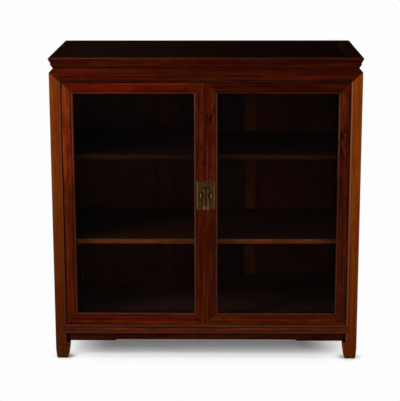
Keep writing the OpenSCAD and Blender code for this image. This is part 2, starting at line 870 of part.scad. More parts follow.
// Holes through the plate and into the meeting stile.
module plate_holes() {
    for (p = nail_places)
        translate([from_middle(p[0]), -plate_t - 1, p[1]])
            rotate([-90, 0, 0]) cylinder(r = nail_shank_r, h = plate_t + 1 + nail_l, $fn = 24);
    translate([from_middle(loop_x), -plate_t - 1, plate_z - door_z])
        rotate([-90, 0, 0]) cylinder(r = tail_r, h = plate_t + 1 + tail_l, $fn = 24);
    for (side = [-1, 1])
        translate([from_middle(pull_x + side * staple_w / 2), -plate_t - 1, pull_z - door_z])
            rotate([-90, 0, 0]) cylinder(r = wire_r, h = plate_t + 1 + nail_l, $fn = 24);
}

module lock_plate()
    difference() {
        translate([from_middle(plate_far), 0, plate_low]) rotate([90, 0, 0])
            linear_extrude(plate_t) {
                translate([plate_r, 0]) square([plate_w - plate_r, plate_h]);
                translate([0, plate_r]) square([plate_r, plate_h - 2 * plate_r]);
                translate([plate_r, plate_r]) circle(r = plate_r);
                translate([plate_r, plate_h - plate_r]) circle(r = plate_r);
            }
        plate_holes();
    }

// A lock loop: a rounded lug on a tail, drilled from side to side for a padlock's bar.
module lock_loop()
    translate([from_middle(loop_x), -plate_t, plate_z - door_z]) {
        difference() {
            translate([-loop_w / 2, 0, 0]) rotate([90, 0, 90]) linear_extrude(loop_w)
                intersection() {
                    translate([-loop_out, -loop_h / 2]) square([loop_out, loop_h]);
                    translate([loop_h / 2 - loop_out, 0]) circle(r = loop_h / 2);
                }
            translate([-loop_w / 2 - 1, -loop_out + loop_hole_r + loop_wall, 0]) rotate([0, 90, 0])
                cylinder(r = loop_hole_r, h = loop_w + 2);
        }
        rotate([-90, 0, 0]) cylinder(r = tail_r, h = plate_t + tail_l, $fn = 24);
    }

// A wire staple: two legs through the plate and the bar that the pull hangs on.
module pull_staple()
    translate([from_middle(pull_x), -plate_t - wire_out, pull_z - door_z]) {
        for (side = [-1, 1])
            translate([side * staple_w / 2, 0, 0]) {
                rotate([-90, 0, 0])
                    cylinder(r = wire_r, h = wire_out + plate_t + nail_l, $fn = 24);
                sphere(r = wire_r, $fn = 24);
            }
        translate([-staple_w / 2, 0, 0]) rotate([0, 90, 0])
            cylinder(r = wire_r, h = staple_w, $fn = 24);
    }

// A flat drop pull in a vase outline: neck, shoulder, waist and rounded foot.
module pull_outline() {
    half = [
        [neck_w / 2, 2], [neck_w / 2, -5], [pull_w * 0.42, -9], [pull_w * 0.46, -13],
        [pull_w * 0.34, -22], [pull_w * 0.33, -pull_l * 0.55], [pull_w * 0.42, -pull_l + 12]
    ];
    foot = corner_arc(0, -pull_l + pull_w / 2, pull_w / 2, 0, -180, 12);
    polygon(concat(half, foot, flipped([for (p = half) [-p[0], p[1]]])));
}

module pull()
    translate([from_middle(pull_x), -plate_t - wire_out, pull_z - door_z])
        difference() {
            union() {
                translate([0, pull_t / 2, 0]) rotate([90, 0, 0])
                    linear_extrude(pull_t) pull_outline();
                translate([-neck_w / 2, 0, 0]) rotate([0, 90, 0])
                    cylinder(r = eye_r, h = neck_w);
            }
            translate([-neck_w, 0, 0]) rotate([0, 90, 0])
                cylinder(r = wire_r + wire_play, h = 2 * neck_w);
        }

// Round-headed nails that hold the plate.
module nails()
    for (p = nail_places)
        translate([from_middle(p[0]), -plate_t, p[1]]) rotate([90, 0, 0])
            rotate_extrude($fn = 24) polygon(concat(
                [[0, -plate_t - nail_l], [nail_shank_r, -plate_t - nail_l + 1]],
                [[nail_shank_r, 0]],
                [for (i = [0 : 5]) let (a = 90 * i / 5) [nail_r * cos(a), nail_r * 0.6 * sin(a)]]
            ));

module door_left_hinge_stile() color(WOOD) left_door() hinge_stile();
module door_left_meeting_stile() color(WOOD) left_door() meeting_stile();
module door_left_top_rail() color(WOOD) left_door() door_rail(true);
module door_left_lower_rail() color(WOOD) left_door() door_rail(false);
module door_left_glass() color(GLASS) left_door() glass();
module door_left_glazing_beads() color(DARK_WOOD) left_door() glazing_beads();
module door_left_pivots() color(BRASS) left_door() pivots();
module door_left_lock_plate() color(BRASS) left_door() lock_plate();
module door_left_lock_loop() color(BRASS) left_door() lock_loop();
module door_left_pull_staple() color(BRASS) left_door() pull_staple();
module door_left_pull() color(BRASS) left_door() pull();
module door_left_nails() color(BRASS) left_door() nails();

module door_right_hinge_stile() color(WOOD) right_door() hinge_stile();
module door_right_meeting_stile() color(WOOD) right_door() meeting_stile();
module door_right_top_rail() color(WOOD) right_door() door_rail(true);
module door_right_lower_rail() color(WOOD) right_door() door_rail(false);
module door_right_glass() color(GLASS) right_door() glass();
module door_right_glazing_beads() color(DARK_WOOD) right_door() glazing_beads();
module door_right_pivots() color(BRASS) right_door() pivots();
module door_right_lock_plate() color(BRASS) right_door() lock_plate();
module door_right_lock_loop() color(BRASS) right_door() lock_loop();
module door_right_pull_staple() color(BRASS) right_door() pull_staple();
module door_right_pull() color(BRASS) right_door() pull();
module door_right_nails() color(BRASS) right_door() nails();

top_rail_front();
top_rail_back();
top_rail_left();
top_rail_right();
top_panel();
top_battens();
frieze_front();
frieze_back();
frieze_left();
frieze_right();
post_front_left();
post_front_right();
post_back_left();
post_back_right();
head_rail();
base_rail_front();
base_rail_back();
base_rail_left();
base_rail_right();
apron_front();
apron_left();
apron_right();
bottom_board();
side_panel_left();
side_panel_right();
back_rail_upper();
back_rail_lower();
back_muntin_left();
back_muntin_right();
back_panel_left();
back_panel_middle();
back_panel_right();
shelf_upper();
shelf_lower();
shelf_bearers_left();
shelf_bearers_right();
door_left_hinge_stile();
door_left_meeting_stile();
door_left_top_rail();
door_left_lower_rail();
door_left_glass();
door_left_glazing_beads();
door_left_pivots();
door_left_lock_plate();
door_left_lock_loop();
door_left_pull_staple();
door_left_pull();
door_left_nails();
door_right_hinge_stile();
door_right_meeting_stile();
door_right_top_rail();
door_right_lower_rail();
door_right_glass();
door_right_glazing_beads();
door_right_pivots();
door_right_lock_plate();
door_right_lock_loop();
door_right_pull_staple();
door_right_pull();
door_right_nails();
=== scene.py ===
# %% [markdown]
# # A glazed display cabinet in a red-brown hardwood
#
# The cabinet is a low two-door case in the plain waisted form: a mitred top, a narrow waist, four
# square posts that run down into feet, and two glazed doors with a brass lock plate between them.
# Every member was cut to its true size in the CAD model, so this lesson is about finish: softened
# arrises, planks that each have their own figure, clear glass, old brass and quiet studio light.
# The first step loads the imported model. Its nodes stay where they are, and whatever is made here
# either wears a new material or stands in for a node and rides on the same body.

# %% Load the frame
import json
import math

import bpy
from mathutils import Matrix

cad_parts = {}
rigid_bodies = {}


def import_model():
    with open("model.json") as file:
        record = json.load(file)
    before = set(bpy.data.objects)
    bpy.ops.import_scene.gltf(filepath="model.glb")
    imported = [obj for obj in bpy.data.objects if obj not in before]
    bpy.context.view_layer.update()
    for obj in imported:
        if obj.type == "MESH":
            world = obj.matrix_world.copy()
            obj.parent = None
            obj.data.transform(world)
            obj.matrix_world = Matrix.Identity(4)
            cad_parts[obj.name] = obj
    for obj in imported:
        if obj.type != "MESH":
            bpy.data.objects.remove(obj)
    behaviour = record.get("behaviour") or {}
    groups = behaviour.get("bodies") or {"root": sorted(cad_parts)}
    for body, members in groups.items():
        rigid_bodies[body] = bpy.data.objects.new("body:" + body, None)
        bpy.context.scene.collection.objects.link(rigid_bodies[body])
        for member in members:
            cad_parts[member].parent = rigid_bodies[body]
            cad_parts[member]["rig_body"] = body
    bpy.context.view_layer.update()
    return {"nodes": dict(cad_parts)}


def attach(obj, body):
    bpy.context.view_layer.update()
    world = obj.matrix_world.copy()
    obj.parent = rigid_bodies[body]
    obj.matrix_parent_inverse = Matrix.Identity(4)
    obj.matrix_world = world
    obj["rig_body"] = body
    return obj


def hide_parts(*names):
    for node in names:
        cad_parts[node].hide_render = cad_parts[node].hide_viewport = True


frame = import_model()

nodes = frame["nodes"]

# %% [markdown]
# ## Camera
#
# A product picture is taken from some way off with a long lens, a little above the top of the
# case, so that uprights stay nearly upright and a thin strip of the top still shows. The place,
# tilt and focal length could be judged by eye, but here they come from a pinhole camera fitted to
# the edges and corners of the top and the posts in a photograph, so they are odd numbers.

# %% Camera
IMAGE_SIZE = (400, 401)
FOCAL_PIXELS = 1343.85
CAMERA_PLACE = (0.03996, -4.30767, 1.45954)
CAMERA_TURN = 0.8190
CAMERA_TILT = 13.0362
CAMERA_ROLL = -0.1140

lens = bpy.data.cameras.new("camera")
lens.sensor_width = 36
lens.lens = FOCAL_PIXELS / max(IMAGE_SIZE) * lens.sensor_width
camera = bpy.data.objects.new("camera", lens)
bpy.context.scene.collection.objects.link(camera)
camera.matrix_world = (
    Matrix.Translation(CAMERA_PLACE)
    @ Matrix.Rotation(math.radians(CAMERA_TURN), 4, "Z")
    @ Matrix.Rotation(math.radians(90 - CAMERA_TILT), 4, "X")
    @ Matrix.Rotation(math.radians(CAMERA_ROLL), 4, "Z")
)
bpy.context.scene.camera = camera
print("lens in mm:", round(lens.lens, 2))

# %% [markdown]
# ## Helpers for node trees
#
# Every finish below is a small tree of shader nodes. Making one node takes three steps: add it, set
# its own properties, and feed its inputs with values or with other nodes. One helper does all
# three, and five short ones name what comes up again and again. Colours are
# written as screen levels from 0 to 255, which is how a finisher would compare samples, and turned
# into the linear values that the renderer needs.

# %% Helpers for node trees
def shade(red, green, blue):
    """A colour given in screen levels, as linear light."""
    return tuple(
        level / 12.92 if level <= 0.04045 else ((level + 0.055) / 1.055) ** 2.4
        for level in (red / 255, green / 255, blue / 255)
    ) + (1,)


def put(tree, kind, settings=None, feeds=None):
    """Adds a node. settings are its own properties; feeds are values or sockets for its inputs."""
    made = tree.nodes.new("ShaderNode" + kind)
    for name, value in (settings or {}).items():
        setattr(made, name, value)
    for name, value in (feeds or {}).items():
        if isinstance(value, bpy.types.NodeSocket):
            tree.links.new(value, made.inputs[name])
        else:
            made.inputs[name].default_value = value
    return made


def maths(tree, operation, first, second=0.0):
    """One sum with two values or sockets."""
    return put(tree, "Math", {"operation": operation}, {0: first, 1: second}).outputs[0]


def step(tree, value, low, high, to_low=0.0, to_high=1.0):
    """Maps low..high smoothly to to_low..to_high and holds the ends."""
    feeds = {"Value": value, "From Min": low, "From Max": high,
             "To Min": to_low, "To Max": to_high}
    return put(tree, "MapRange", {"interpolation_type": "SMOOTHSTEP"}, feeds).outputs[0]


def mix(tree, amount, first, second, mode="MIX"):
    """Blends two colours."""
    made = put(tree, "Mix", {"data_type": "RGBA", "blend_type": mode},
               {0: amount, 6: first, 7: second})
    return made.outputs[2]


def noise(tree, vector, scale, detail=2.0, roughness=0.5, distortion=0.0):
    """A noise value over the surface."""
    feeds = {"Vector": vector, "Scale": scale, "Detail": detail,
             "Roughness": roughness, "Distortion": distortion}
    return put(tree, "TexNoise", None, feeds).outputs["Fac"]


def stretched(tree, vector, scale):
    """The position, scaled on each axis."""
    return put(tree, "Mapping", None, {"Vector": vector, "Scale": scale}).outputs[0]


def start_group(name, inputs, outputs):
    """A shader node group with its sockets, and the nodes inside that carry them."""
    tree = bpy.data.node_groups.new(name, "ShaderNodeTree")
    for label, kind, value in inputs:
        socket = tree.interface.new_socket(label, in_out="INPUT", socket_type="NodeSocket" + kind)
        if value is not None:
            socket.default_value = value
    for label, kind in outputs:
        tree.interface.new_socket(label, in_out="OUTPUT", socket_type="NodeSocket" + kind)
    given = tree.nodes.new("NodeGroupInput")
    result = tree.nodes.new("NodeGroupOutput")
    return tree, given.outputs, result.inputs


def start_material(name):
    """An empty material with a Principled BSDF joined to its output."""
    made = bpy.data.materials.new(name)
    made.use_nodes = True
    tree = made.node_tree
    tree.nodes.clear()
    shader = put(tree, "BsdfPrincipled")
    output = put(tree, "OutputMaterial", None, {"Surface": shader.outputs[0]})
    return made, tree, shader, output


def seen_rays(tree):
    """1 for rays that see the studio from the camera, in a reflection or through glass."""
    path = put(tree, "LightPath").outputs
    direct = maths(tree, "MAXIMUM", path["Is Camera Ray"], path["Is Glossy Ray"])
    direct = maths(tree, "MAXIMUM", direct, path["Is Transmission Ray"])
    return maths(tree, "MULTIPLY", direct, maths(tree, "LESS_THAN", path["Diffuse Depth"], 0.5))


# %% [markdown]
# ## Studio
#
# The cabinet stands on white paper in an even, white studio. A real studio would have a curved
# backdrop; here the world is plain white to the camera, in reflections and through the glass, and
# gives a softer grey light to everything else. Under the cabinet, where it holds the shadow, the
# floor is paper: white and faintly glowing to rays that see it, a darker grey to light that bounces
# off it. Beside and in front of the case it fades into the same white as the world, except close
# against a foot, so no horizon shows.

# %% World and floor
BACKDROP = shade(253, 253, 253)
HORIZON_LIGHT = 0.62
ZENITH_LIGHT = 0.25
PAPER_LIFT = 0.12
SHADOW_REACH = (0.31, 0.10, 0.22)

world = bpy.data.worlds.new("studio")
world.use_nodes = True
world.cycles.sampling_method = "NONE"
bpy.context.scene.world = world
sky = world.node_tree
sky.nodes.clear()
toward = put(sky, "SeparateXYZ", None, {0: put(sky, "TexCoord").outputs["Generated"]})
glow = step(sky, toward.outputs["Z"], 0.05, 0.6, HORIZON_LIGHT, ZENITH_LIGHT)
white = put(sky, "Background", None, {"Color": BACKDROP, "Strength": 1.0})
soft = put(sky, "Background", None, {"Color": (1, 1, 1, 1), "Strength": glow})
both = put(sky, "MixShader", None, {0: seen_rays(sky), 1: soft.outputs[0], 2: white.outputs[0]})
put(sky, "OutputWorld", None, {"Surface": both.outputs[0]})

paper, tree, shader, output = start_material("white_paper")
place = put(tree, "TexCoord").outputs["Object"]
away = put(tree, "VectorMath", {"operation": "ABSOLUTE"}, {0: place}).outputs[0]
away = put(tree, "VectorMath", {"operation": "SUBTRACT"}, {
    0: away, 1: (SHADOW_REACH[0], SHADOW_REACH[1], 0.0)}).outputs[0]
away = put(tree, "VectorMath", {"operation": "MAXIMUM"}, {0: away, 1: (0, 0, 0)}).outputs[0]
away = put(tree, "VectorMath", {"operation": "LENGTH"}, {0: away}).outputs["Value"]
open_air = put(tree, "AmbientOcclusion", {"samples": 16}, {"Distance": 0.04}).outputs["AO"]
seen = seen_rays(tree)
tooth = noise(tree, place, 900.0)
tree.links.new(step(tree, tooth, 0.3, 0.7, 0.86, 0.92), shader.inputs["Roughness"])
tree.links.new(mix(tree, seen, (0.4, 0.4, 0.4, 1), (0.92, 0.92, 0.92, 1)),
               shader.inputs["Base Color"])
shader.inputs["Specular IOR Level"].default_value = 0.0
shader.inputs["Emission Color"].default_value = (1, 1, 1, 1)
tree.links.new(maths(tree, "MULTIPLY", seen, PAPER_LIFT), shader.inputs["Emission Strength"])
plain = put(tree, "Emission", None, {"Color": BACKDROP, "Strength": 1.0})
fade = maths(tree, "MULTIPLY", step(tree, away, 0.0, SHADOW_REACH[2]),
             step(tree, open_air, 0.55, 0.97))
fade = maths(tree, "MULTIPLY", fade, seen)
blend = put(tree, "MixShader", None, {0: fade, 1: shader.outputs[0], 2: plain.outputs[0]})
tree.links.new(blend.outputs[0], output.inputs["Surface"])

bpy.ops.mesh.primitive_plane_add(size=60, location=(0, 0, 0))
floor = bpy.context.object
floor.name = "floor"
floor.data.materials.append(paper)
print("floor:", floor.name)

# %% [markdown]
# ## Lamps
#
# Dark, polished furniture is lit from both sides, well off the camera's line, so that nothing
# mirrors straight back. The key hangs high on the left and close, so the light falls off to the
# right and towards the feet. The fill stands low on the right and shines in under the rail. A wide
# box overhead whitens the paper round the case. The side boxes may show in reflections: that is
# what draws the thin lights along the beads.

# %% Lamps
def soft_box(name, place, aim, size, power, mirrored):
    """A rectangular lamp aimed at a point. mirrored says if it shows in reflections."""
    data = bpy.data.lights.new(name, "AREA")
    data.shape = "RECTANGLE"
    data.size, data.size_y = size
    data.energy = power
    lamp = bpy.data.objects.new(name, data)
    bpy.context.scene.collection.objects.link(lamp)
    toward = [b - a for a, b in zip(place, aim)]
    across = math.hypot(toward[0], toward[1])
    lamp.matrix_world = (
        Matrix.Translation(place)
        @ Matrix.Rotation(math.atan2(-toward[0], toward[1]), 4, "Z")
        @ Matrix.Rotation(math.radians(90) + math.atan2(toward[2], across), 4, "X")
    )
    lamp.visible_camera = False
    lamp.visible_glossy = mirrored
    lamp.visible_transmission = False


soft_box("key_box", (-1.5, -1.4, 1.6), (-0.2, -0.24, 0.75), (0.45, 0.6), 26, True)
soft_box("fill_box", (1.6, -1.35, 0.42), (0.1, -0.24, 0.35), (0.4, 0.4), 11, True)
soft_box("top_box", (0.0, 0.3, 3.4), (0.0, 0.0, 0.0), (3.0, 2.4), 110, False)

# %% [markdown]
# ## The figure of the wood
#
# A plank of dark tropical wood has three things to see: growth rings that run as long stripes, fine
# fibres and pores along the grain with a golden vein among them, and here and there a dark knotty
# cloud. A photograph of a plank could be wrapped on, but it would repeat from member to member.
# Here the rings are real rings round a line beside the plank, so the stripes on the face and on the
# edge belong together, and each plank is cut from another place. The group takes a position in the
# plank with X along the grain.

# %% Wood figure group
LEAN = (0.92, 0.72, 0.74, 1)
GOLDEN = (1.22, 1.8, 1.7, 1)
wood_figure, given, result = start_group(
    "wood_figure",
    [("Vector", "Vector", None), ("Ground", "Color", shade(90, 34, 12)),
     ("Stripe", "Color", shade(60, 18, 6)), ("Cloud", "Color", shade(20, 6, 4)),
     ("Stripes", "Float", 0.8), ("Gold", "Float", 1.0), ("Clouds", "Float", 0.3),
     ("Mottle", "Float", 0.3)],
    [("Color", "Color"), ("Roughness", "Float"), ("Height", "Float")],
)
tree = wood_figure
place = given["Vector"]
slow = stretched(tree, place, (0.09, 1.0, 1.0))
rings = put(tree, "TexWave", {"wave_type": "RINGS", "rings_direction": "X"},
            {"Vector": slow, "Scale": 26.0, "Distortion": 6.0, "Detail": 3.0,
             "Detail Scale": 7.0, "Detail Roughness": 0.6}).outputs["Fac"]
bands = noise(tree, stretched(tree, place, (1.5, 42.0, 42.0)), 1.0, 4.0, 0.6, 0.5)
veins = noise(tree, stretched(tree, place, (2.5, 95.0, 95.0)), 1.3, 3.0, 0.6, 0.3)
lines = noise(tree, stretched(tree, place, (4.0, 130.0, 130.0)), 1.0, 3.0, 0.6)
threads = noise(tree, stretched(tree, place, (9.0, 420.0, 420.0)), 1.0, 2.0, 0.6)
fibres = noise(tree, stretched(tree, place, (16.0, 1100.0, 1100.0)), 1.0, 2.0)
pores = noise(tree, stretched(tree, place, (70.0, 2300.0, 2300.0)), 1.0, 1.0)
curl = noise(tree, stretched(tree, place, (17.0, 40.0, 40.0)), 1.0, 3.0, 0.6, 0.8)
cloud = noise(tree, stretched(tree, place, (34.0, 100.0, 100.0)), 1.0, 3.0, 0.6, 0.9)

stripe = maths(tree, "MULTIPLY", step(tree, rings, 0.2, 0.9), 0.30)
for streak, share in ((bands, 0.30), (lines, 0.28), (threads, 0.12)):
    streak = maths(tree, "MULTIPLY", step(tree, streak, 0.41, 0.59), share)
    stripe = maths(tree, "ADD", stripe, streak)
colour = mix(tree, maths(tree, "MULTIPLY", stripe, given["Stripes"]),
             given["Ground"], given["Stripe"])
golden = mix(tree, step(tree, veins, 0.46, 0.62), LEAN, GOLDEN)
colour = mix(tree, given["Gold"], colour, mix(tree, 1.0, colour, golden, "MULTIPLY"))
dark = maths(tree, "MULTIPLY", step(tree, cloud, 0.50, 0.60), given["Clouds"])
colour = mix(tree, dark, colour, given["Cloud"])
pore = step(tree, pores, 0.60, 0.70)
waver = maths(tree, "MULTIPLY", step(tree, curl, 0.32, 0.68, -1.0, 1.0), given["Mottle"])
grey = maths(tree, "MULTIPLY", step(tree, fibres, 0.3, 0.7, 0.9, 1.1),
             maths(tree, "ADD", waver, 1.0))
grey = maths(tree, "MULTIPLY", grey, maths(tree, "SUBTRACT", 1.0,
             maths(tree, "MULTIPLY", pore, 0.35)))
colour = mix(tree, 1.0, colour, put(tree, "CombineColor", None,
             {0: grey, 1: grey, 2: grey}).outputs[0], "MULTIPLY")
rough = maths(tree, "ADD", step(tree, fibres, 0.3, 0.7, 0.30, 0.40),
              maths(tree, "MULTIPLY", pore, 0.25))
height = maths(tree, "SUBTRACT", maths(tree, "MULTIPLY", fibres, 0.25), pore)
tree.links.new(colour, result["Color"])
tree.links.new(rough, result["Roughness"])
tree.links.new(height, result["Height"])
print("wood figure nodes:", len(tree.nodes))

# %% [markdown]
# ## Painted highlights on arrises, painted shade in corners
#
# The outer arrises get a painted highlight, paler and greyer than the faces, where a polished
# edge would catch the lamps, and the grooves, corners and joints get painted shade. Both could be
# painted by hand. The renderer can also find them: the Bevel node's rounded normal parts from the
# true one near an arris, and ambient occlusion over a few millimetres is low in a corner.

# %% Arris highlight and corner shade masks
arris_and_corner_masks, given, result = start_group(
    "arris_and_corner_masks", [("Reach", "Float", 0.0012), ("Corner", "Float", 0.004)],
    [("Arris", "Float"), ("Corner", "Float")],
)
tree = arris_and_corner_masks
true_normal = put(tree, "NewGeometry").outputs["Normal"]
rounded = put(tree, "Bevel", {"samples": 4}, {"Radius": given["Reach"]}).outputs[0]
same = put(tree, "VectorMath", {"operation": "DOT_PRODUCT"},
           {0: rounded, 1: true_normal}).outputs["Value"]
open_air = put(tree, "AmbientOcclusion", {"samples": 8},
               {"Distance": given["Corner"]}).outputs["AO"]
arris = maths(tree, "MULTIPLY", step(tree, same, 0.995, 0.90), step(tree, open_air, 0.76, 0.95))
tree.links.new(arris, result["Arris"])
tree.links.new(step(tree, open_air, 0.9, 0.4), result["Corner"])
print("wear nodes:", len(tree.nodes))

# %% [markdown]
# ## A plank's material
#
# One wood group serves every member, but no two planks are alike. Each plank gets its own material:
# its colours, how strong its stripes and clouds are, the direction of its grain, and the place in
# the log that it was cut from. Beads get a painted highlight and the slopes beside them painted
# shade; which face is which comes from an attribute that each member's mesh is given further down.
#
# The other terms are painted light and shade that match the light in one photograph. Faces that
# look up get painted shade towards black, faces that look into the case and the side faces of the
# door members get painted shade, and posts and some door members get painted shade towards the
# bottom. The left end is painted lighter than the right (left_lift). The gloss is next to nothing,
# because a studio that is white all round lies over dark wood as a grey veil. For a scene with
# other light, all of these are the first things to take out.

# %% Plank materials
GRAIN_TURNS = {
    "x": (0, 0, 0),
    "y": (0, 0, math.radians(-90)),
    "z": (0, math.radians(90), 0),
}
# The first colour is a painted highlight for beads and arrises. The other four are painted shade:
# in corners and grooves, on faces that look up, on faces inside the case and the sides of door
# members, and low down.
EDGE_HIGHLIGHT = shade(100, 66, 54)
CORNER_SHADE = shade(14, 5, 3)
UPWARD_SHADE = shade(10, 4.5, 3.5)
SIDE_SHADE = shade(12, 5, 4)
LOW_SHADE_COLOUR = shade(36, 10, 3)


def plank(name, ground, stripe, grain, cut, stripes=0.9, clouds=0.0, knots=(0.0, 1.0),
          mottle=0.25, gold=1.0, arris=0.45, beads=0.5, highlight_to=EDGE_HIGHLIGHT, grooves=0.35, up_shade=0.9,
          inside_shade=0.0, edges=0.0, low_shade=(0.4, 0.0, 0.0), left_lift=0.05, gloss=0.012):
    """A wood material. cut is where in the log the plank comes from, in metres."""
    made, tree, shader, _ = start_material(name)
    coordinates = put(tree, "TexCoord").outputs
    turn = GRAIN_TURNS[grain]
    turned = put(tree, "Mapping", None, {
        "Vector": coordinates["Object"], "Location": cut, "Rotation": turn}).outputs[0]
    place = put(tree, "SeparateXYZ", None, {0: coordinates["Object"]}).outputs
    low, high = knots
    room = step(tree, place["Z"], low - 0.02, low + 0.02)
    room = maths(tree, "MULTIPLY", room, step(tree, place["Z"], high + 0.02, high - 0.02))
    figure = put(tree, "Group", {"node_tree": wood_figure}, {
        "Vector": turned, "Ground": shade(*ground), "Stripe": shade(*stripe),
        "Stripes": stripes, "Gold": gold, "Clouds": maths(tree, "MULTIPLY", room, clouds),
        "Mottle": mottle}).outputs
    light_masks = put(tree, "Group", {"node_tree": arris_and_corner_masks}).outputs
    moulding = put(tree, "Attribute", {"attribute_name": "moulding"}).outputs["Fac"]
    # Painted highlight on arrises and beads, where a polished edge would catch the lamps.
    painted_highlight = maths(tree, "MAXIMUM", maths(tree, "MULTIPLY", light_masks["Arris"], arris),
                   maths(tree, "MULTIPLY", moulding, beads))
    colour = mix(tree, painted_highlight, figure["Color"], highlight_to)
    # Painted shade in corners, joints and on the slopes beside beads.
    painted_shade = maths(tree, "MAXIMUM", maths(tree, "MULTIPLY", light_masks["Corner"], 0.8),
                  maths(tree, "MULTIPLY", moulding, -grooves))
    colour = mix(tree, painted_shade, colour, CORNER_SHADE)
    normal = put(tree, "SeparateXYZ", None, {0: coordinates["Normal"]}).outputs
    # Painted shade towards black on faces that look up.
    level = maths(tree, "MULTIPLY", step(tree, normal["Z"], 0.93, 0.99), up_shade)
    colour = mix(tree, level, colour, UPWARD_SHADE)
    # Painted shade on faces that look into the case.
    inward = maths(tree, "ADD", maths(tree, "MULTIPLY", normal["X"], place["X"]),
                   maths(tree, "MULTIPLY", normal["Y"], place["Y"]))
    inward = maths(tree, "MULTIPLY", step(tree, inward, -0.10, -0.18, 0.0, inside_shade),
                   maths(tree, "MULTIPLY", step(tree, place["Z"], 0.10, 0.11),
                         step(tree, place["Y"], -0.22, -0.21)))
    colour = mix(tree, inward, colour, SIDE_SHADE)
    # Painted shade on the side faces of door members.
    edge = step(tree, maths(tree, "ABSOLUTE", normal["Y"]), 0.5, 0.2, 0.0, edges)
    colour = mix(tree, edge, colour, SIDE_SHADE)
    # Painted shade that grows from the first height down to the second, up to the given amount.
    clean, shaded_below, amount = low_shade
    colour = mix(tree, step(tree, place["Z"], clean, shaded_below, 0.0, amount), colour, LOW_SHADE_COLOUR)
    # Painted light: the left end lighter than the right.
    left_to_right_light = step(tree, place["X"], -0.48, 0.48, 1.0 + left_lift, 1.0 - left_lift)
    colour = put(tree, "VectorMath", {"operation": "SCALE"}, {0: colour, "Scale": left_to_right_light}).outputs[0]
    bump = put(tree, "Bump", None, {
        "Height": figure["Height"], "Strength": 0.25, "Distance": 0.0002})
    tree.links.new(colour, shader.inputs["Base Color"])
    tree.links.new(figure["Roughness"], shader.inputs["Roughness"])
    tree.links.new(bump.outputs[0], shader.inputs["Normal"])
    shader.inputs["Specular IOR Level"].default_value = gloss
    return made


# %% [markdown]
# ## Cutting list
#
# The case has three timbers' worth of colour: red-brown for the frames, a paler golden orange for
# the four posts, and a darker one inside and on top. Each row of the list names the members, the
# colours of the ground and of the stripes and the grain, and then whatever sets the plank apart:
# dark knots and how high up they are, a curly figure, or no painted highlight on the beads. The
# colours were set by comparing levels with the photograph, so some carry painted light: the right
# door's hinge stile and top rail are painted darker than the left door's, and one back panel and
# one back muntin are painted lighter than the rest, for the light that shows through the
# right-hand glass; from behind it looks uneven.

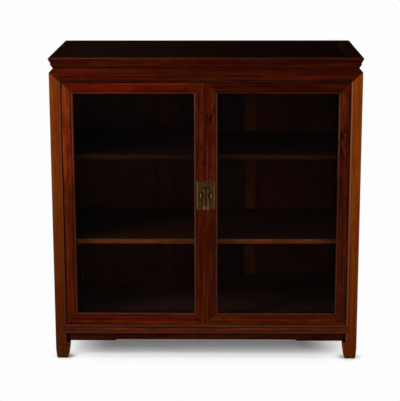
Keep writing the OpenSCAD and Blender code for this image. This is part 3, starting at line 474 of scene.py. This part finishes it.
# %% Cutting list
TOP = {"arris": 0.1, "beads": 0.1, "up_shade": 0.96, "gloss": 0.0}
INSIDE = {"arris": 0.0, "beads": 0.0, "stripes": 0.55, "gold": 0.2}
POST = {"mottle": 0.12, "gold": 0.4, "stripes": 0.85, "low_shade": (0.95, 0.1, 0.6),
        "beads": 0.25, "grooves": 0.15, "inside_shade": 0.85}
DOOR = {"edges": 0.8, "beads": 0.3}
CUTTING_LIST = [
    # members, ground, stripe, grain, what sets them apart
    (["top_rail_front"], (68, 18, 5), (38, 8, 2), "x", {**TOP, "left_lift": 0.24}),
    (["top_rail_back"], (66, 20, 7), (42, 11, 3), "x", TOP),
    (["top_rail_left", "top_rail_right"], (66, 20, 7), (42, 11, 3), "y", TOP),
    (["top_panel"], (28, 11, 7), (17, 6, 4), "x", {**TOP, "left_lift": 0.4}),
    (["top_battens"], (50, 20, 10), (34, 12, 6), "y", INSIDE),
    (["frieze_front"], (74, 19, 5), (36, 8, 1), "x", {"beads": 0.0, "mottle": 0.15}),
    (["frieze_back"], (72, 22, 7), (44, 12, 4), "x", {"beads": 0.0}),
    (["frieze_left", "frieze_right"], (72, 22, 7), (44, 12, 4), "y", {"beads": 0.0}),
    (["post_front_left"], (130, 57, 14), (94, 36, 6), "z", POST),
    # The right post's beads get a brighter painted highlight.
    (["post_front_right"], (143, 67, 12), (100, 39, 5), "z",
     {**POST, "low_shade": (0.9, 0.05, 0.5), "beads": 0.5, "highlight_to": shade(158, 92, 62)}),
    (["post_back_left", "post_back_right"], (132, 60, 15), (96, 37, 7), "z",
     {**POST, "arris": 0.05}),
    (["head_rail"], (44, 18, 9), (30, 11, 6), "x", INSIDE),
    (["base_rail_front"], (96, 35, 10), (58, 17, 5), "x", {"beads": 0.25, "grooves": 0.25}),
    (["base_rail_back"], (84, 32, 11), (56, 19, 7), "x", {}),
    (["base_rail_left", "base_rail_right"], (84, 32, 11), (56, 19, 7), "y", {}),
    (["apron_front"], (60, 17, 7), (34, 8, 4), "x", {"beads": 0.2, "left_lift": 0.12}),
    (["apron_left", "apron_right"], (58, 17, 8), (36, 9, 5), "y", {}),
    (["bottom_board"], (50, 27, 21), (36, 19, 15), "x", {**INSIDE, "up_shade": 0.0}),
    (["side_panel_left", "side_panel_right"], (82, 26, 8), (48, 13, 4), "z",
     {"clouds": 0.3, "arris": 0.05, "inside_shade": 0.9}),
    (["back_rail_upper", "back_rail_lower"], (48, 19, 11), (32, 12, 7), "x", INSIDE),
    (["back_muntin_left"], (48, 20, 13), (32, 12, 8), "z", INSIDE),
    # The right back muntin and, below, the right back panel are painted lighter: painted light that
    # falls through the right-hand glass.
    (["back_muntin_right"], (96, 45, 25), (72, 30, 16), "z", INSIDE),
    (["back_panel_left", "back_panel_middle"], (42, 20, 15), (26, 12, 9), "z",
     {**INSIDE, "clouds": 0.3}),
    (["back_panel_right"], (76, 28, 18), (46, 16, 11), "z", {**INSIDE, "clouds": 0.3}),
    (["shelf_upper"], (33, 13, 6), (23, 9, 4), "x", {**INSIDE, "up_shade": 0.5}),
    (["shelf_lower"], (89, 40, 15), (63, 27, 9), "x", {**INSIDE, "up_shade": 0.87}),
    (["shelf_bearers_left", "shelf_bearers_right"], (48, 19, 9), (32, 12, 6), "y", INSIDE),
    (["door_left_hinge_stile"], (118, 39, 9), (64, 19, 4), "z",
     {**DOOR, "clouds": 0.15, "mottle": 0.35, "low_shade": (0.7, 0.5, 0.6)}),
    (["door_left_meeting_stile"], (90, 25, 5), (38, 9, 2), "z",
     {**DOOR, "clouds": 0.5, "knots": (0.6, 0.8)}),
    (["door_left_top_rail"], (98, 24, 5), (50, 12, 2), "x", {**DOOR, "beads": 0.1}),
    (["door_left_lower_rail"], (94, 26, 5), (46, 12, 3), "x", {**DOOR, "beads": 0.2}),
    (["door_right_meeting_stile"], (88, 25, 5), (38, 10, 2), "z",
     {**DOOR, "clouds": 1.0, "knots": (0.74, 0.83), "low_shade": (0.6, 0.3, 0.25)}),
    # The right door's hinge stile and top rail are painted darker than the left door's: painted
    # shade of the light falling off to the right.
    (["door_right_hinge_stile"], (90, 26, 5), (38, 10, 2), "z",
     {**DOOR, "clouds": 1.0, "knots": (0.50, 0.76), "mottle": 0.35, "low_shade": (0.7, 0.5, 0.4)}),
    (["door_right_top_rail"], (62, 13, 3), (32, 6, 1), "x", {**DOOR, "beads": 0.05}),
    (["door_right_lower_rail"], (92, 29, 5), (46, 13, 3), "x", {**DOOR, "beads": 0.08}),
]

# %% [markdown]
# ## Softened members
#
# The CAD members have razor-sharp arrises, which no plane or scraper leaves and which never catch
# the light. A bevel in the shader would fake it, but a real bevel is what a joiner makes, and it
# survives in the mesh. So each member is copied, its loose triangles are merged and its flat faces
# dissolved, the arrises get a small two-step bevel, and the copy stands in for the node. Weighted
# normals keep the broad faces flat while the beads stay round.

# %% Softened members
ARRIS = 0.0004
SHORT_EDGE = 0.005
MOULDING_LENGTH = 0.02
BEAD_FACET = (0.0006, 0.0018)
SLOPE_WIDTH = 0.006
WELD = 0.000002
FOOT_ROUNDING = 0.006
RAIL_TIPS = {
    "door_left_top_rail": -0.427, "door_left_lower_rail": -0.427,
    "door_right_top_rail": 0.427, "door_right_lower_rail": 0.427,
}


def only(piece):
    """Selects one object alone and makes it the active one."""
    bpy.ops.object.select_all(action="DESELECT")
    piece.select_set(True)
    bpy.context.view_layer.objects.active = piece


def copied(node, name):
    """A copy of a CAD node's mesh, merged into clean flat faces, as a new object."""
    piece = bpy.data.objects.new(name, nodes[node].data.copy())
    bpy.context.scene.collection.objects.link(piece)
    piece.data.materials.clear()
    only(piece)
    bpy.ops.object.mode_set(mode="EDIT")
    bpy.ops.mesh.select_all(action="SELECT")
    bpy.ops.mesh.remove_doubles(threshold=WELD)
    bpy.ops.mesh.dissolve_limited(angle_limit=math.radians(0.5))
    bpy.ops.object.mode_set(mode="OBJECT")
    return piece


def mark_mouldings(piece):
    """Marks each face as part of a bead (1), as the slope beside a bead (-1) or as neither (0)."""
    marks = piece.data.attributes.new("moulding", "FLOAT", "FACE").data
    points = piece.data.vertices
    for face, mark in zip(piece.data.polygons, marks):
        corners = [points[v].co for v in face.vertices]
        length = max((b - a).length for a, b in zip(corners, corners[1:] + corners[:1]))
        width = face.area / length
        steepest = max(abs(part) for part in face.normal)
        if length > MOULDING_LENGTH and BEAD_FACET[0] < width < BEAD_FACET[1]:
            mark.value = 1.0
        elif length > MOULDING_LENGTH and width < SLOPE_WIDTH and 0.75 < steepest < 0.93:
            mark.value = -1.0


def soften(piece, width, tip=None):
    """Bevels a piece's long sharp arrises in two steps and smooths its rounded faces.

    A door rail runs out in a thin tip beside its hinge, where a bevel would tear, so it is
    divided at x = tip and bevelled only along its length on the inner side of that cut.
    """
    only(piece)
    bpy.ops.object.mode_set(mode="EDIT")
    bpy.ops.mesh.select_mode(type="EDGE")
    if tip:
        bpy.ops.mesh.select_all(action="SELECT")
        bpy.ops.mesh.bisect(plane_co=(tip, 0, 0), plane_no=(1, 0, 0))
    bpy.ops.mesh.select_all(action="DESELECT")
    bpy.ops.mesh.edges_select_sharp(sharpness=math.radians(35))
    bpy.ops.object.mode_set(mode="OBJECT")
    points = piece.data.vertices
    for face in piece.data.polygons:
        face.select = False
    for edge in piece.data.edges:
        start, end = (points[v].co for v in edge.vertices)
        run = end - start
        if run.length < SHORT_EDGE:
            edge.select = False
        across = abs(run.x) < 0.99 * run.length
        if tip and (across or max(abs(start.x), abs(end.x)) > abs(tip) + WELD):
            edge.select = False
    bpy.ops.object.mode_set(mode="EDIT")
    bpy.ops.mesh.bevel(offset=width, segments=2, affect="EDGES", clamp_overlap=False)
    bpy.ops.object.mode_set(mode="OBJECT")
    bpy.ops.object.shade_smooth_by_angle(angle=math.radians(50))
    weigh = piece.modifiers.new("weigh", "WEIGHTED_NORMAL")
    weigh.keep_sharp = True
    bpy.ops.object.modifier_apply(modifier="weigh")


def round_foot(piece):
    """Rounds the lower edges of a post's foot, as they look in the photograph."""
    only(piece)
    bpy.ops.object.mode_set(mode="EDIT")
    bpy.ops.mesh.select_mode(type="EDGE")
    bpy.ops.mesh.select_all(action="DESELECT")
    bpy.ops.object.mode_set(mode="OBJECT")
    points = piece.data.vertices
    for edge in piece.data.edges:
        edge.select = all(points[v].co.z < WELD for v in edge.vertices)
    bpy.ops.object.mode_set(mode="EDIT")
    bpy.ops.mesh.bevel(offset=FOOT_ROUNDING, segments=4, affect="EDGES", clamp_overlap=False)
    bpy.ops.object.mode_set(mode="OBJECT")


def stand_in(piece, node):
    """The piece rides on the node's body and stands for it; the node is hidden."""
    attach(piece, nodes[node]["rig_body"])
    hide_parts(node)


def place_in_log(count):
    """Where in the log a plank is cut from, different for each one."""
    return (0.37 * count, 0.05 + 0.013 * (count % 7), 0.11)


cut = 0
for members, ground, stripe, grain, apart in CUTTING_LIST:
    for member in members:
        cut += 1
        piece = copied(member, member + "_wood")
        mark_mouldings(piece)
        if member.startswith("post"):
            round_foot(piece)
        soften(piece, ARRIS, RAIL_TIPS.get(member))
        piece.data.materials.append(plank(
            member, ground, stripe, grain, place_in_log(cut), **apart))
        stand_in(piece, member)
print("softened members:", cut)

# %% [markdown]
# ## Glass
#
# The doors hold plain sheet glass, a little uneven and faintly green. The studio is white all
# round, while a real one is dark behind the camera, so the reflection at the surface is tinted
# down; otherwise the panes would look like milk in front of the dark inside. A path tracer treats
# glass as solid for its shadows. Here the panes let most of a shadow ray through, so the lamps
# reach the shelves and the frames of the doors throw their shadows there.

# %% Glass
pane, tree, shader, _ = start_material("sheet_glass")
place = put(tree, "TexCoord").outputs["Object"]
wave = noise(tree, place, 6.0, 1.0)
tree.links.new(put(tree, "Bump", None, {
    "Height": wave, "Strength": 0.02, "Distance": 0.002}).outputs[0], shader.inputs["Normal"])
tree.links.new(mix(tree, wave, (0.89, 0.90, 0.89, 1), (0.91, 0.92, 0.91, 1)),
               shader.inputs["Base Color"])
shader.inputs["Roughness"].default_value = 0.0
shader.inputs["Metallic"].default_value = 0.0
shader.inputs["IOR"].default_value = 1.45
shader.inputs["Specular Tint"].default_value = (0.015, 0.015, 0.015, 1)
shader.inputs["Transmission Weight"].default_value = 1.0
shadow = put(tree, "LightPath").outputs["Is Shadow Ray"]
tree.links.new(step(tree, shadow, 0.0, 1.0, 1.0, 0.15), shader.inputs["Alpha"])
for door in ("door_left", "door_right"):
    glass = nodes[door + "_glass"]
    glass.data.materials.clear()
    glass.data.materials.append(pane)
print("panes:", 2)

# %% [markdown]
# ## Old brass
#
# The lock plate is thin brass that has gone olive and brown. Its rim, the loops and the ends of
# the pulls carry a painted highlight, and the loops' inner halves painted shade, as in the
# photograph.

# %% Brass
brass, tree, shader, _ = start_material("old_brass")
place = put(tree, "TexCoord").outputs["Object"]
patina = noise(tree, place, 140.0, 4.0, 0.65)
pits = noise(tree, place, 900.0, 2.0)
light_masks = put(tree, "Group", {"node_tree": arris_and_corner_masks}, {"Reach": 0.0008, "Corner": 0.003}).outputs
colour = mix(tree, step(tree, patina, 0.35, 0.65), shade(68, 49, 18), shade(40, 27, 9))
# A positive mark is painted highlight, a negative one painted shade.
painted_light = put(tree, "Attribute", {"attribute_name": "moulding"}).outputs["Fac"]
painted_dark = maths(tree, "MULTIPLY", painted_light, -0.85)
painted_light = maths(tree, "MAXIMUM", maths(tree, "MULTIPLY", light_masks["Arris"], 0.5),
                maths(tree, "MULTIPLY", painted_light, 0.6))
# Painted highlight on the arrises, the plate's rim, the loops' outer halves and the pulls' ends.
colour = mix(tree, painted_light, colour, shade(160, 118, 92))
# Painted shade on the loops' inner halves and backs.
colour = mix(tree, painted_dark, colour, shade(14, 9, 4))
colour = mix(tree, maths(tree, "MULTIPLY", light_masks["Corner"], 0.8), colour, shade(14, 9, 4))
tree.links.new(colour, shader.inputs["Base Color"])
tree.links.new(step(tree, patina, 0.3, 0.7, 0.34, 0.55), shader.inputs["Roughness"])
shader.inputs["Metallic"].default_value = 1.0
tree.links.new(put(tree, "Bump", None, {
    "Height": pits, "Strength": 0.2, "Distance": 0.0002}).outputs[0], shader.inputs["Normal"])
print("brass nodes in the tree:", len(tree.nodes))

# %% [markdown]
# ## Glazing beads
#
# Each pane is held from behind by four thin strips. The CAD node keeps the four in one mesh, but a
# joiner cuts them from four lengths of wood, so they are separated, and every strip gets a plank of
# its own with the grain along it.

# %% Glazing beads
strips = []
for door in ("door_left", "door_right"):
    node = door + "_glazing_beads"
    copied(node, node + "_strip")
    bpy.ops.object.mode_set(mode="EDIT")
    bpy.ops.mesh.select_all(action="SELECT")
    bpy.ops.mesh.separate(type="LOOSE")
    bpy.ops.object.mode_set(mode="OBJECT")
    for strip in list(bpy.context.selected_objects):
        cut += 1
        grain = "x" if strip.dimensions.x > strip.dimensions.z else "z"
        soften(strip, ARRIS)
        strip.data.materials.append(plank(
            node, (60, 22, 9), (40, 13, 5), grain, place_in_log(cut)))
        stand_in(strip, node)
        strips.append(strip.name)
print("glazing strips:", strips)

# %% [markdown]
# ## Shaping brass
#
# The brass pieces are small, and a picture from close by would show their razor edges at once. They
# are modelled again from plain blocks, rods and rings, in millimetres and for the right-hand door;
# the left-hand ones are mirrored copies. Two helpers make the blanks and one picks edges or faces.

# %% Helpers for the brass
MM = 0.001
ROD_TURNS = {"x": (0, math.radians(90), 0), "y": (math.radians(90), 0, 0), "z": (0, 0, 0)}


def settled():
    """The piece that was just added, with its place, turn and size moved into the mesh."""
    bpy.ops.object.transform_apply(location=True, rotation=True, scale=True)
    return bpy.context.object


def block(across, deep, high):
    """A box between two limits along each axis."""
    limits = (across, deep, high)
    bpy.ops.object.select_all(action="DESELECT")
    bpy.ops.mesh.primitive_cube_add(
        size=1, location=[(a + b) / 2 * MM for a, b in limits],
        scale=[(b - a) * MM for a, b in limits])
    return settled()


def rod(axis, radius, middle, length, sides=24):
    """A round bar along one axis."""
    bpy.ops.object.select_all(action="DESELECT")
    bpy.ops.mesh.primitive_cylinder_add(
        vertices=sides, radius=radius * MM, depth=length * MM,
        location=[part * MM for part in middle], rotation=ROD_TURNS[axis])
    return settled()


def choose(piece, edges=None, faces=None):
    """Selects the edges or faces that pass a test and leaves the piece in edit mode."""
    only(piece)
    bpy.ops.object.mode_set(mode="EDIT")
    bpy.ops.mesh.select_mode(type="EDGE" if edges else "FACE")
    bpy.ops.mesh.select_all(action="DESELECT")
    bpy.ops.object.mode_set(mode="OBJECT")
    points = piece.data.vertices
    if edges:
        for edge in piece.data.edges:
            edge.select = edges(*(points[v].co for v in edge.vertices))
    else:
        for face in piece.data.polygons:
            face.select = faces(face)
    bpy.ops.object.mode_set(mode="EDIT")


def mark_light(piece, how_much):
    """Marks each face with its painted highlight (up to 1) or its painted shade (down to -1)."""
    marks = piece.data.attributes.new("moulding", "FLOAT", "FACE").data
    for face, mark in zip(piece.data.polygons, marks):
        mark.value = how_much(face)


def joined(pieces):
    """Joins the pieces into the first one."""
    only(pieces[0])
    for piece in pieces[1:]:
        piece.select_set(True)
    bpy.ops.object.join()
    return bpy.context.object


def smoothed(piece, degrees=40):
    """Shades the rounded faces smooth and keeps the flat ones flat."""
    only(piece)
    bpy.ops.object.shade_smooth_by_angle(angle=math.radians(degrees))
    weigh = piece.modifiers.new("weigh", "WEIGHTED_NORMAL")
    weigh.keep_sharp = True
    bpy.ops.object.modifier_apply(modifier="weigh")


# %% [markdown]
# ## Lock plate and nails
#
# Each half of the plate has two rounded outer corners, a bevelled rim and one line cut in a little
# way from the edge. Four round-headed nails hold it. The nails have a fault that is not mended:
# their mesh comes out with open edges.

# %% Lock plate and nails
PLATE_ACROSS = (0.75, 28.25)
PLATE_HIGH = (488.0, 581.0)
PLATE_DEEP = (-242.0, -240.5)
PLATE_CORNER = 4.5
PLATE_RIM = 1.0
PLATE_BORDER = 1.6
NAIL_PLACES = [(x, z) for x in (12.75, 24.25) for z in (492.0, 577.0)]
NAIL_HEAD = 1.7
NAIL_SHANK = 0.765
NAIL_END = -233.5

plate = block(PLATE_ACROSS, PLATE_DEEP, PLATE_HIGH)
far = PLATE_ACROSS[1] * MM - WELD
choose(plate, edges=lambda a, b: min(a.x, b.x) > far and abs(a.y - b.y) > MM)
bpy.ops.mesh.bevel(offset=PLATE_CORNER * MM, segments=8, affect="EDGES")
bpy.ops.object.mode_set(mode="OBJECT")
front = PLATE_DEEP[0] * MM + WELD
choose(plate, edges=lambda a, b: max(a.y, b.y) < front)
bpy.ops.mesh.bevel(offset=PLATE_RIM * MM, segments=3, affect="EDGES")
bpy.ops.object.mode_set(mode="OBJECT")
choose(plate, faces=lambda face: face.normal.y < -0.99)
bpy.ops.mesh.inset(thickness=PLATE_BORDER * MM)
bpy.ops.mesh.inset(thickness=0.4 * MM, depth=-0.3 * MM)
bpy.ops.mesh.inset(thickness=0.4 * MM, depth=0.3 * MM)
bpy.ops.object.mode_set(mode="OBJECT")
# Painted highlight on the faces along the plate's outer rim.
mark_light(plate, lambda face: 0.3 if face.center.x > (PLATE_ACROSS[1] - PLATE_RIM - PLATE_BORDER) * MM
    else 0.0)

bpy.ops.object.select_all(action="DESELECT")
bpy.ops.mesh.primitive_uv_sphere_add(
    segments=20, ring_count=10, radius=NAIL_HEAD * MM,
    location=(0, PLATE_DEEP[0] * MM, 0), scale=(1, 0.6, 1))
head = settled()
choose(head, faces=lambda face: True)
bpy.ops.mesh.bisect(plane_co=(0, PLATE_DEEP[0] * MM, 0), plane_no=(0, 1, 0),
                    use_fill=True, clear_outer=True)
bpy.ops.object.mode_set(mode="OBJECT")
shank = rod("y", NAIL_SHANK, (0, (PLATE_DEEP[0] + NAIL_END) / 2, 0), NAIL_END - PLATE_DEEP[0], 12)
nail = joined([head, shank])
nails = []
for x, z in NAIL_PLACES:
    one = bpy.data.objects.new("nail", nail.data.copy())
    bpy.context.scene.collection.objects.link(one)
    one.data.transform(Matrix.Translation((x * MM, 0, z * MM)))
    nails.append(one)
bpy.data.objects.remove(nail)
nails = joined(nails)
print("plate faces:", len(plate.data.polygons), "nail faces:", len(nails.data.polygons))

# %% [markdown]
# ## Lock loop
#
# A padlock's bar goes through two rounded lugs, one on each half of the plate. The lug is a slice
# of a rod, cut flat where it meets the plate, drilled across and eased all round, on a round tail.

# %% Lock loop
LOOP_MIDDLE = (14.0, -243.0, 534.5)
LOOP_RADIUS = 9.0
LOOP_WIDTH = 7.0
LOOP_HOLE = (3.0, -246.8)
LOOP_LIGHT_LINES = (13.6, 14.1, 14.6, 15.1)
TAIL = (2.0, -228.5)

loop = rod("x", LOOP_RADIUS, LOOP_MIDDLE, LOOP_WIDTH, 48)
choose(loop, faces=lambda face: True)
bpy.ops.mesh.bisect(plane_co=(0, PLATE_DEEP[0] * MM, 0), plane_no=(0, 1, 0),
                    use_fill=True, clear_outer=True)
bpy.ops.object.mode_set(mode="OBJECT")
drill = rod("x", LOOP_HOLE[0], (LOOP_MIDDLE[0], LOOP_HOLE[1], LOOP_MIDDLE[2]), LOOP_WIDTH + 2, 32)
hole = loop.modifiers.new("hole", "BOOLEAN")
hole.operation = "DIFFERENCE"
hole.object = drill
only(loop)
bpy.ops.object.modifier_apply(modifier="hole")
bpy.data.objects.remove(drill)
choose(loop, faces=lambda face: False)
bpy.ops.mesh.select_mode(type="EDGE")
bpy.ops.mesh.edges_select_sharp(sharpness=math.radians(60))
bpy.ops.mesh.bevel(offset=0.8 * MM, segments=3, affect="EDGES")
for line in LOOP_LIGHT_LINES:
    bpy.ops.mesh.select_all(action="SELECT")
    bpy.ops.mesh.bisect(plane_co=(line * MM, 0, 0), plane_no=(1, 0, 0))
bpy.ops.object.mode_set(mode="OBJECT")
# Painted shade on the lug's back and inner half, rising to a painted highlight on its outer half.
mark_light(loop, lambda face: -1.0 if face.normal.y > -0.4 else
    sum(face.center.x > line * MM for line in LOOP_LIGHT_LINES) * 0.45 - 1.0)
tail = rod("y", TAIL[0], (LOOP_MIDDLE[0], (PLATE_DEEP[0] + TAIL[1]) / 2, LOOP_MIDDLE[2]),
           TAIL[1] - PLATE_DEEP[0])
loop = joined([loop, tail])
print("loop faces:", len(loop.data.polygons))

# %% [markdown]
# ## Drop pull and its staple
#
# The pull is a vase, oval in section: one small ring of edges is extruded downwards and widened or
# narrowed at each station, and an eye at the top should hang on the staple. The staple should be a
# circle that runs out from the door, turns a quarter round, crosses over and turns back in.
#
# The staple has a fault that a learner should not copy. Both spins turn back towards the door, so
# the wire is folded through itself, the bar lies 2 mm too near the plate, and the eye runs through
# the bar instead of round it. The other sign on the spins' axis is the likely mend, not tried yet.

# %% Drop pull and its staple
PULL_AXIS = (5.8, -245.2, 557.5)
PULL_STATIONS = [  # below the axis, half the width, half the thickness
    (2.0, 1.5, 0.9), (5.0, 1.7, 1.1), (7.4, 2.3, 1.2), (9.0, 3.1, 1.3), (11.0, 3.45, 1.3),
    (13.0, 3.5, 1.3), (17.0, 3.0, 1.3), (22.0, 2.6, 1.3), (30.0, 2.5, 1.25), (38.0, 2.55, 1.25),
    (48.0, 2.85, 1.3), (56.0, 3.2, 1.3), (61.0, 3.6, 1.3), (64.2, 3.8, 1.3), (66.3, 3.3, 1.2),
    (67.5, 2.1, 0.9), (68.0, 0.8, 0.4),
]
PULL_HIGHLIGHT_REACH = 26.0
EYE = (1.75, 0.54)
WIRE = 1.0
WIRE_LEGS = (2.9, 8.7)
WIRE_END = -233.5

down, wide, thick = PULL_STATIONS[0][0], 1.0, 1.0
bpy.ops.object.select_all(action="DESELECT")
bpy.ops.mesh.primitive_circle_add(
    vertices=20, radius=MM, fill_type="NGON",
    location=(PULL_AXIS[0] * MM, PULL_AXIS[1] * MM, (PULL_AXIS[2] - down) * MM))
pull = settled()
bpy.ops.object.mode_set(mode="EDIT")
bpy.ops.mesh.select_mode(type="FACE")
bpy.ops.mesh.select_all(action="SELECT")
for next_down, next_wide, next_thick in PULL_STATIONS:
    if next_down > down:
        bpy.ops.mesh.extrude_region_move(
            TRANSFORM_OT_translate={"value": (0, 0, (down - next_down) * MM)})
    bpy.ops.transform.resize(
        value=(next_wide / wide, next_thick / thick, 1),
        center_override=(PULL_AXIS[0] * MM, PULL_AXIS[1] * MM, (PULL_AXIS[2] - next_down) * MM))
    down, wide, thick = next_down, next_wide, next_thick
bpy.ops.mesh.select_all(action="SELECT")
bpy.ops.mesh.normals_make_consistent(inside=False)
bpy.ops.object.mode_set(mode="OBJECT")
tip = (PULL_AXIS[2] - PULL_STATIONS[-1][0]) * MM
# Painted highlight at the pull's lower end, fading upwards.
mark_light(pull, lambda face: max(0.1, 0.75 - (face.center.z - tip) / (PULL_HIGHLIGHT_REACH * MM)))
bpy.ops.object.select_all(action="DESELECT")
bpy.ops.mesh.primitive_torus_add(
    major_segments=24, minor_segments=10, major_radius=EYE[0] * MM, minor_radius=EYE[1] * MM,
    location=[part * MM for part in PULL_AXIS], rotation=ROD_TURNS["x"])
pull = joined([pull, settled()])

leg, bend = WIRE_LEGS[0] * MM, WIRE * MM
bpy.ops.object.select_all(action="DESELECT")
bpy.ops.mesh.primitive_circle_add(
    vertices=14, radius=WIRE * MM, location=(leg, WIRE_END * MM, PULL_AXIS[2] * MM),
    rotation=ROD_TURNS["y"])
staple = settled()
bpy.ops.object.mode_set(mode="EDIT")
bpy.ops.mesh.select_mode(type="EDGE")
bpy.ops.mesh.select_all(action="SELECT")
turn_y = PULL_AXIS[1] * MM + bend
bpy.ops.mesh.extrude_region_move(
    TRANSFORM_OT_translate={"value": (0, turn_y - WIRE_END * MM, 0)})
bpy.ops.mesh.spin(steps=5, angle=math.radians(90), center=(leg + bend, turn_y, PULL_AXIS[2] * MM),
                  axis=(0, 0, 1))
bpy.ops.mesh.extrude_region_move(
    TRANSFORM_OT_translate={"value": ((WIRE_LEGS[1] - WIRE_LEGS[0]) * MM - 2 * bend, 0, 0)})
bpy.ops.mesh.spin(steps=5, angle=math.radians(90),
                  center=(WIRE_LEGS[1] * MM - bend, turn_y, PULL_AXIS[2] * MM), axis=(0, 0, 1))
bpy.ops.mesh.extrude_region_move(
    TRANSFORM_OT_translate={"value": (0, WIRE_END * MM - turn_y, 0)})
bpy.ops.mesh.select_all(action="SELECT")
bpy.ops.mesh.fill_holes(sides=0)
bpy.ops.mesh.select_all(action="SELECT")
bpy.ops.mesh.remove_doubles(threshold=WELD)
bpy.ops.mesh.normals_make_consistent(inside=False)
bpy.ops.object.mode_set(mode="OBJECT")
print("pull faces:", len(pull.data.polygons), "staple faces:", len(staple.data.polygons))

# %% [markdown]
# ## Pivot pins
#
# Each door turns on two plain pins, and the collar of the lower one carries the door. In the CAD
# that collar rests on the rail. Here it stands 0.05 mm clear, and the pins are 0.02 mm thinner,
# because two faces in one plane are counted as cutting each other once the door has turned.

# %% Pivot pins
PIN_PLACE = (436.5, -234.5)
PIN_RADIUS = 2.98
COLLAR_RADIUS = 5.0
PINS = [(102.0, 134.0, 112.55, 114.0), (865.5, 897.5, 885.5, 886.5)]

pins = []
for low, high, collar_low, collar_high in PINS:
    pin = rod("z", PIN_RADIUS, (*PIN_PLACE, (low + high) / 2), high - low, 32)
    collar = rod("z", COLLAR_RADIUS, (*PIN_PLACE, (collar_low + collar_high) / 2),
                 collar_high - collar_low, 32)
    for piece, ease in ((pin, 0.6), (collar, 0.25)):
        choose(piece, edges=lambda a, b: abs(a.z - b.z) < WELD)
        bpy.ops.mesh.bevel(offset=ease * MM, segments=2, affect="EDGES")
        bpy.ops.object.mode_set(mode="OBJECT")
        pins.append(piece)
pins = joined(pins)
print("pin faces:", len(pins.data.polygons))

# %% [markdown]
# ## Fitting the brass
#
# The right-hand pieces are finished, and mirrored copies go to the left-hand door. The painted
# highlight on the rim of the left-hand plate is more than twice as strong, to match the photograph.
# The pulls ride on bodies of their own, because they swing.

# %% Fitting the brass
for made, kind in ((plate, "lock_plate"), (nails, "nails"), (loop, "lock_loop"),
                   (pull, "pull"), (staple, "pull_staple"), (pins, "pivots")):
    made.data.materials.clear()
    made.data.materials.append(brass)
    smoothed(made)
    twin = bpy.data.objects.new("twin", made.data.copy())
    bpy.context.scene.collection.objects.link(twin)
    twin.data.transform(Matrix.Scale(-1, 4, (1, 0, 0)))
    twin.data.flip_normals()
    # The left-hand plate's rim gets a stronger painted highlight.
    if kind == "lock_plate":
        for mark in twin.data.attributes["moulding"].data:
            mark.value *= 2.2
    for piece, door in ((made, "door_right_"), (twin, "door_left_")):
        piece.name = door + kind + "_brass"
        stand_in(piece, door + kind)
        corners = [[round(c / MM, 2) for c in corner] for corner in (
            [f(v.co[i] for v in piece.data.vertices) for i in range(3)] for f in (min, max))]
        print(piece.name, corners)

# %% [markdown]
# ## Finish
#
# The view transform is set to Standard, so that a colour comes out as it was written.

# %% Finish
bpy.context.scene.view_settings.view_transform = "Standard"
